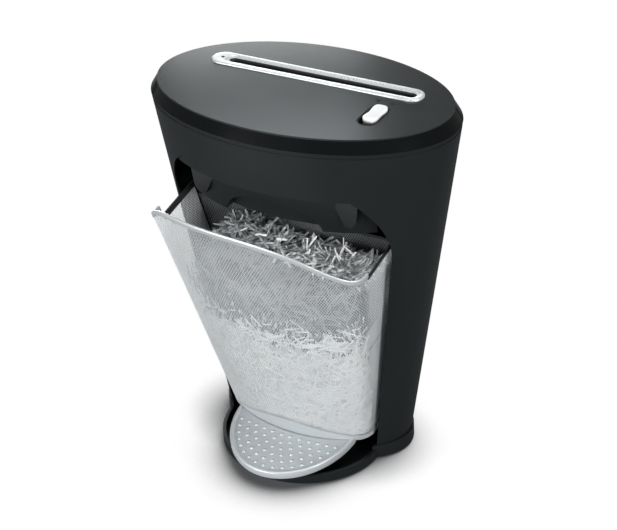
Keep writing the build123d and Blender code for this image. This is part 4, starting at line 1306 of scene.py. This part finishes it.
@dataclass(frozen=True)
class Studio:
    """White floor, soft lamps and a camera at the photograph's angle."""

    azimuth: float = 31.0
    elevation: float = 32.2
    distance: float = 1.9
    roll: float = -3.2
    target: Triple = (0.0, 0.0, 0.22)
    lens: float = 93.24
    sensor: float = 36.0
    shift: Pair = (-0.006, 0.007)
    floor_reach: float = 4000.0
    floor_z: float = -0.2
    shadow_reach: float = 0.068
    shadow_lean: Triple = (0.1, 0.5, 0.86)
    shadow_range: Pair = (0.4, 0.93)
    shadow_tone: str = "#4c4e4f"
    floor_tone: str = "#6a6c6d"
    white: str = "#ffffff"
    sky: Pair = (0.2, 1.0)
    lamps: tuple[Lamp, ...] = (
        Lamp("top", (0.2, -0.3, 3.2), (1.6, 1.6), 66.0),
        Lamp("front", (-0.9, -2.3, 0.42), (1.6, 0.8), 72.0),
        Lamp("side", (2.2, -0.9, 0.8), (0.8, 0.8), 48.0),
        Lamp("back", (-1.4, 2.0, 0.45), (1.2, 0.8), 30.0),
        Lamp("lid_low", (-1.0, 1.5, 1.1), (0.5, 0.14), 0.9),
        Lamp("lid_high", (-1.0, 1.5, 1.56), (0.5, 0.14), 0.9),
    )

    def camera(self) -> None:
        """Place the camera, turned a little about its own axis as in the photograph."""
        az, el, roll = np.radians((self.azimuth, self.elevation, self.roll)).tolist()
        level = math.cos(el)
        back = Vector((math.sin(az) * level, -math.cos(az) * level, math.sin(el)))
        right = Vector((math.cos(az), math.sin(az), 0.0))
        up = back.cross(right)
        side = math.cos(roll) * right + math.sin(roll) * up
        head = math.cos(roll) * up - math.sin(roll) * right
        data = bpy.data.cameras.new("camera")
        data.lens, data.sensor_width = self.lens, self.sensor
        data.shift_x, data.shift_y = self.shift
        camera = add_object("camera", data)
        turn = Matrix((side, head, back)).transposed().to_4x4()
        camera.matrix_world = Matrix.Translation(Vector(self.target) + back * self.distance) @ turn
        bpy.context.scene.camera = camera

    def floor(self) -> None:
        """Lay a pale floor that shows white to the camera, with a soft shadow round the base.

        The shadow is ambient occlusion about a leaning normal, so it is wider at the front.
        """
        reach = np.array([-self.floor_reach, self.floor_reach])
        x, y = np.meshgrid(reach, reach)
        points = np.stack([x, y, np.full_like(x, self.floor_z)], axis=-1).reshape(-1, 3)
        floor = make_piece("floor", points, [grid_faces(2, 2)])
        material = bpy.data.materials.new("floor_white_paper")
        tree = fresh_tree(material)
        path = add_node(tree, "ShaderNodeLightPath").outputs["Is Camera Ray"]
        lean = add_node(tree, "ShaderNodeCombineXYZ", dict(zip("XYZ", self.shadow_lean)))
        near = add_node(
            tree,
            "ShaderNodeAmbientOcclusion",
            {"Distance": self.shadow_reach, "samples": 16},
            {"Normal": lean.outputs[0]},
        ).outputs["AO"]
        span = dict(zip(("From Min", "From Max"), self.shadow_range))
        clear = add_node(tree, "ShaderNodeMapRange", span, {"Value": near}).outputs[0]
        tones = {"data_type": "RGBA", 6: linear(self.shadow_tone), 7: linear(self.white)}
        shade = add_node(tree, "ShaderNodeMix", tones, {0: clear}).outputs[2]
        matt = {"Color": linear(self.floor_tone)}
        paint = add_node(tree, "ShaderNodeBsdfDiffuse", matt).outputs[0]
        glow = add_node(tree, "ShaderNodeEmission", {"Strength": 1.0}, {"Color": shade}).outputs[0]
        mixed = add_node(tree, "ShaderNodeMixShader", None, {0: path, 1: paint, 2: glow})
        add_node(tree, "ShaderNodeOutputMaterial", None, {"Surface": mixed.outputs[0]})
        floor.data.materials.append(material)

    def world(self) -> None:
        """Surround the scene with an even pale light that shows white behind the floor."""
        world = bpy.data.worlds.new("studio")
        tree = fresh_tree(world)
        path = add_node(tree, "ShaderNodeLightPath").outputs["Is Camera Ray"]
        span = dict(zip(("To Min", "To Max"), self.sky))
        strength = add_node(tree, "ShaderNodeMapRange", span, {"Value": path}).outputs[0]
        white = {"Color": linear(self.white)}
        sky = add_node(tree, "ShaderNodeBackground", white, {"Strength": strength})
        add_node(tree, "ShaderNodeOutputWorld", None, {"Surface": sky.outputs[0]})
        bpy.context.scene.world = world

    def build(self) -> None:
        """Set up the floor, the light and the camera."""
        self.floor()
        self.world()
        for lamp in self.lamps:
            lamp.build()
        self.camera()
        bpy.context.scene.view_settings.view_transform = "Standard"


def main() -> None:
    """Build every sub-assembly in order, then the studio; the new pieces log their face counts."""
    logging.basicConfig(level=logging.INFO, format="%(message)s")
    shape = BinShape()
    WireBasket(shape).build()
    HemBand(shape).build()
    PedalTread(shape).build()
    PaperPile(shape).build()
    SlotBezel().build()
    SwitchCap().build()
    finish_nodes()
    Studio().build()


if __name__ == "__main__":
    main()
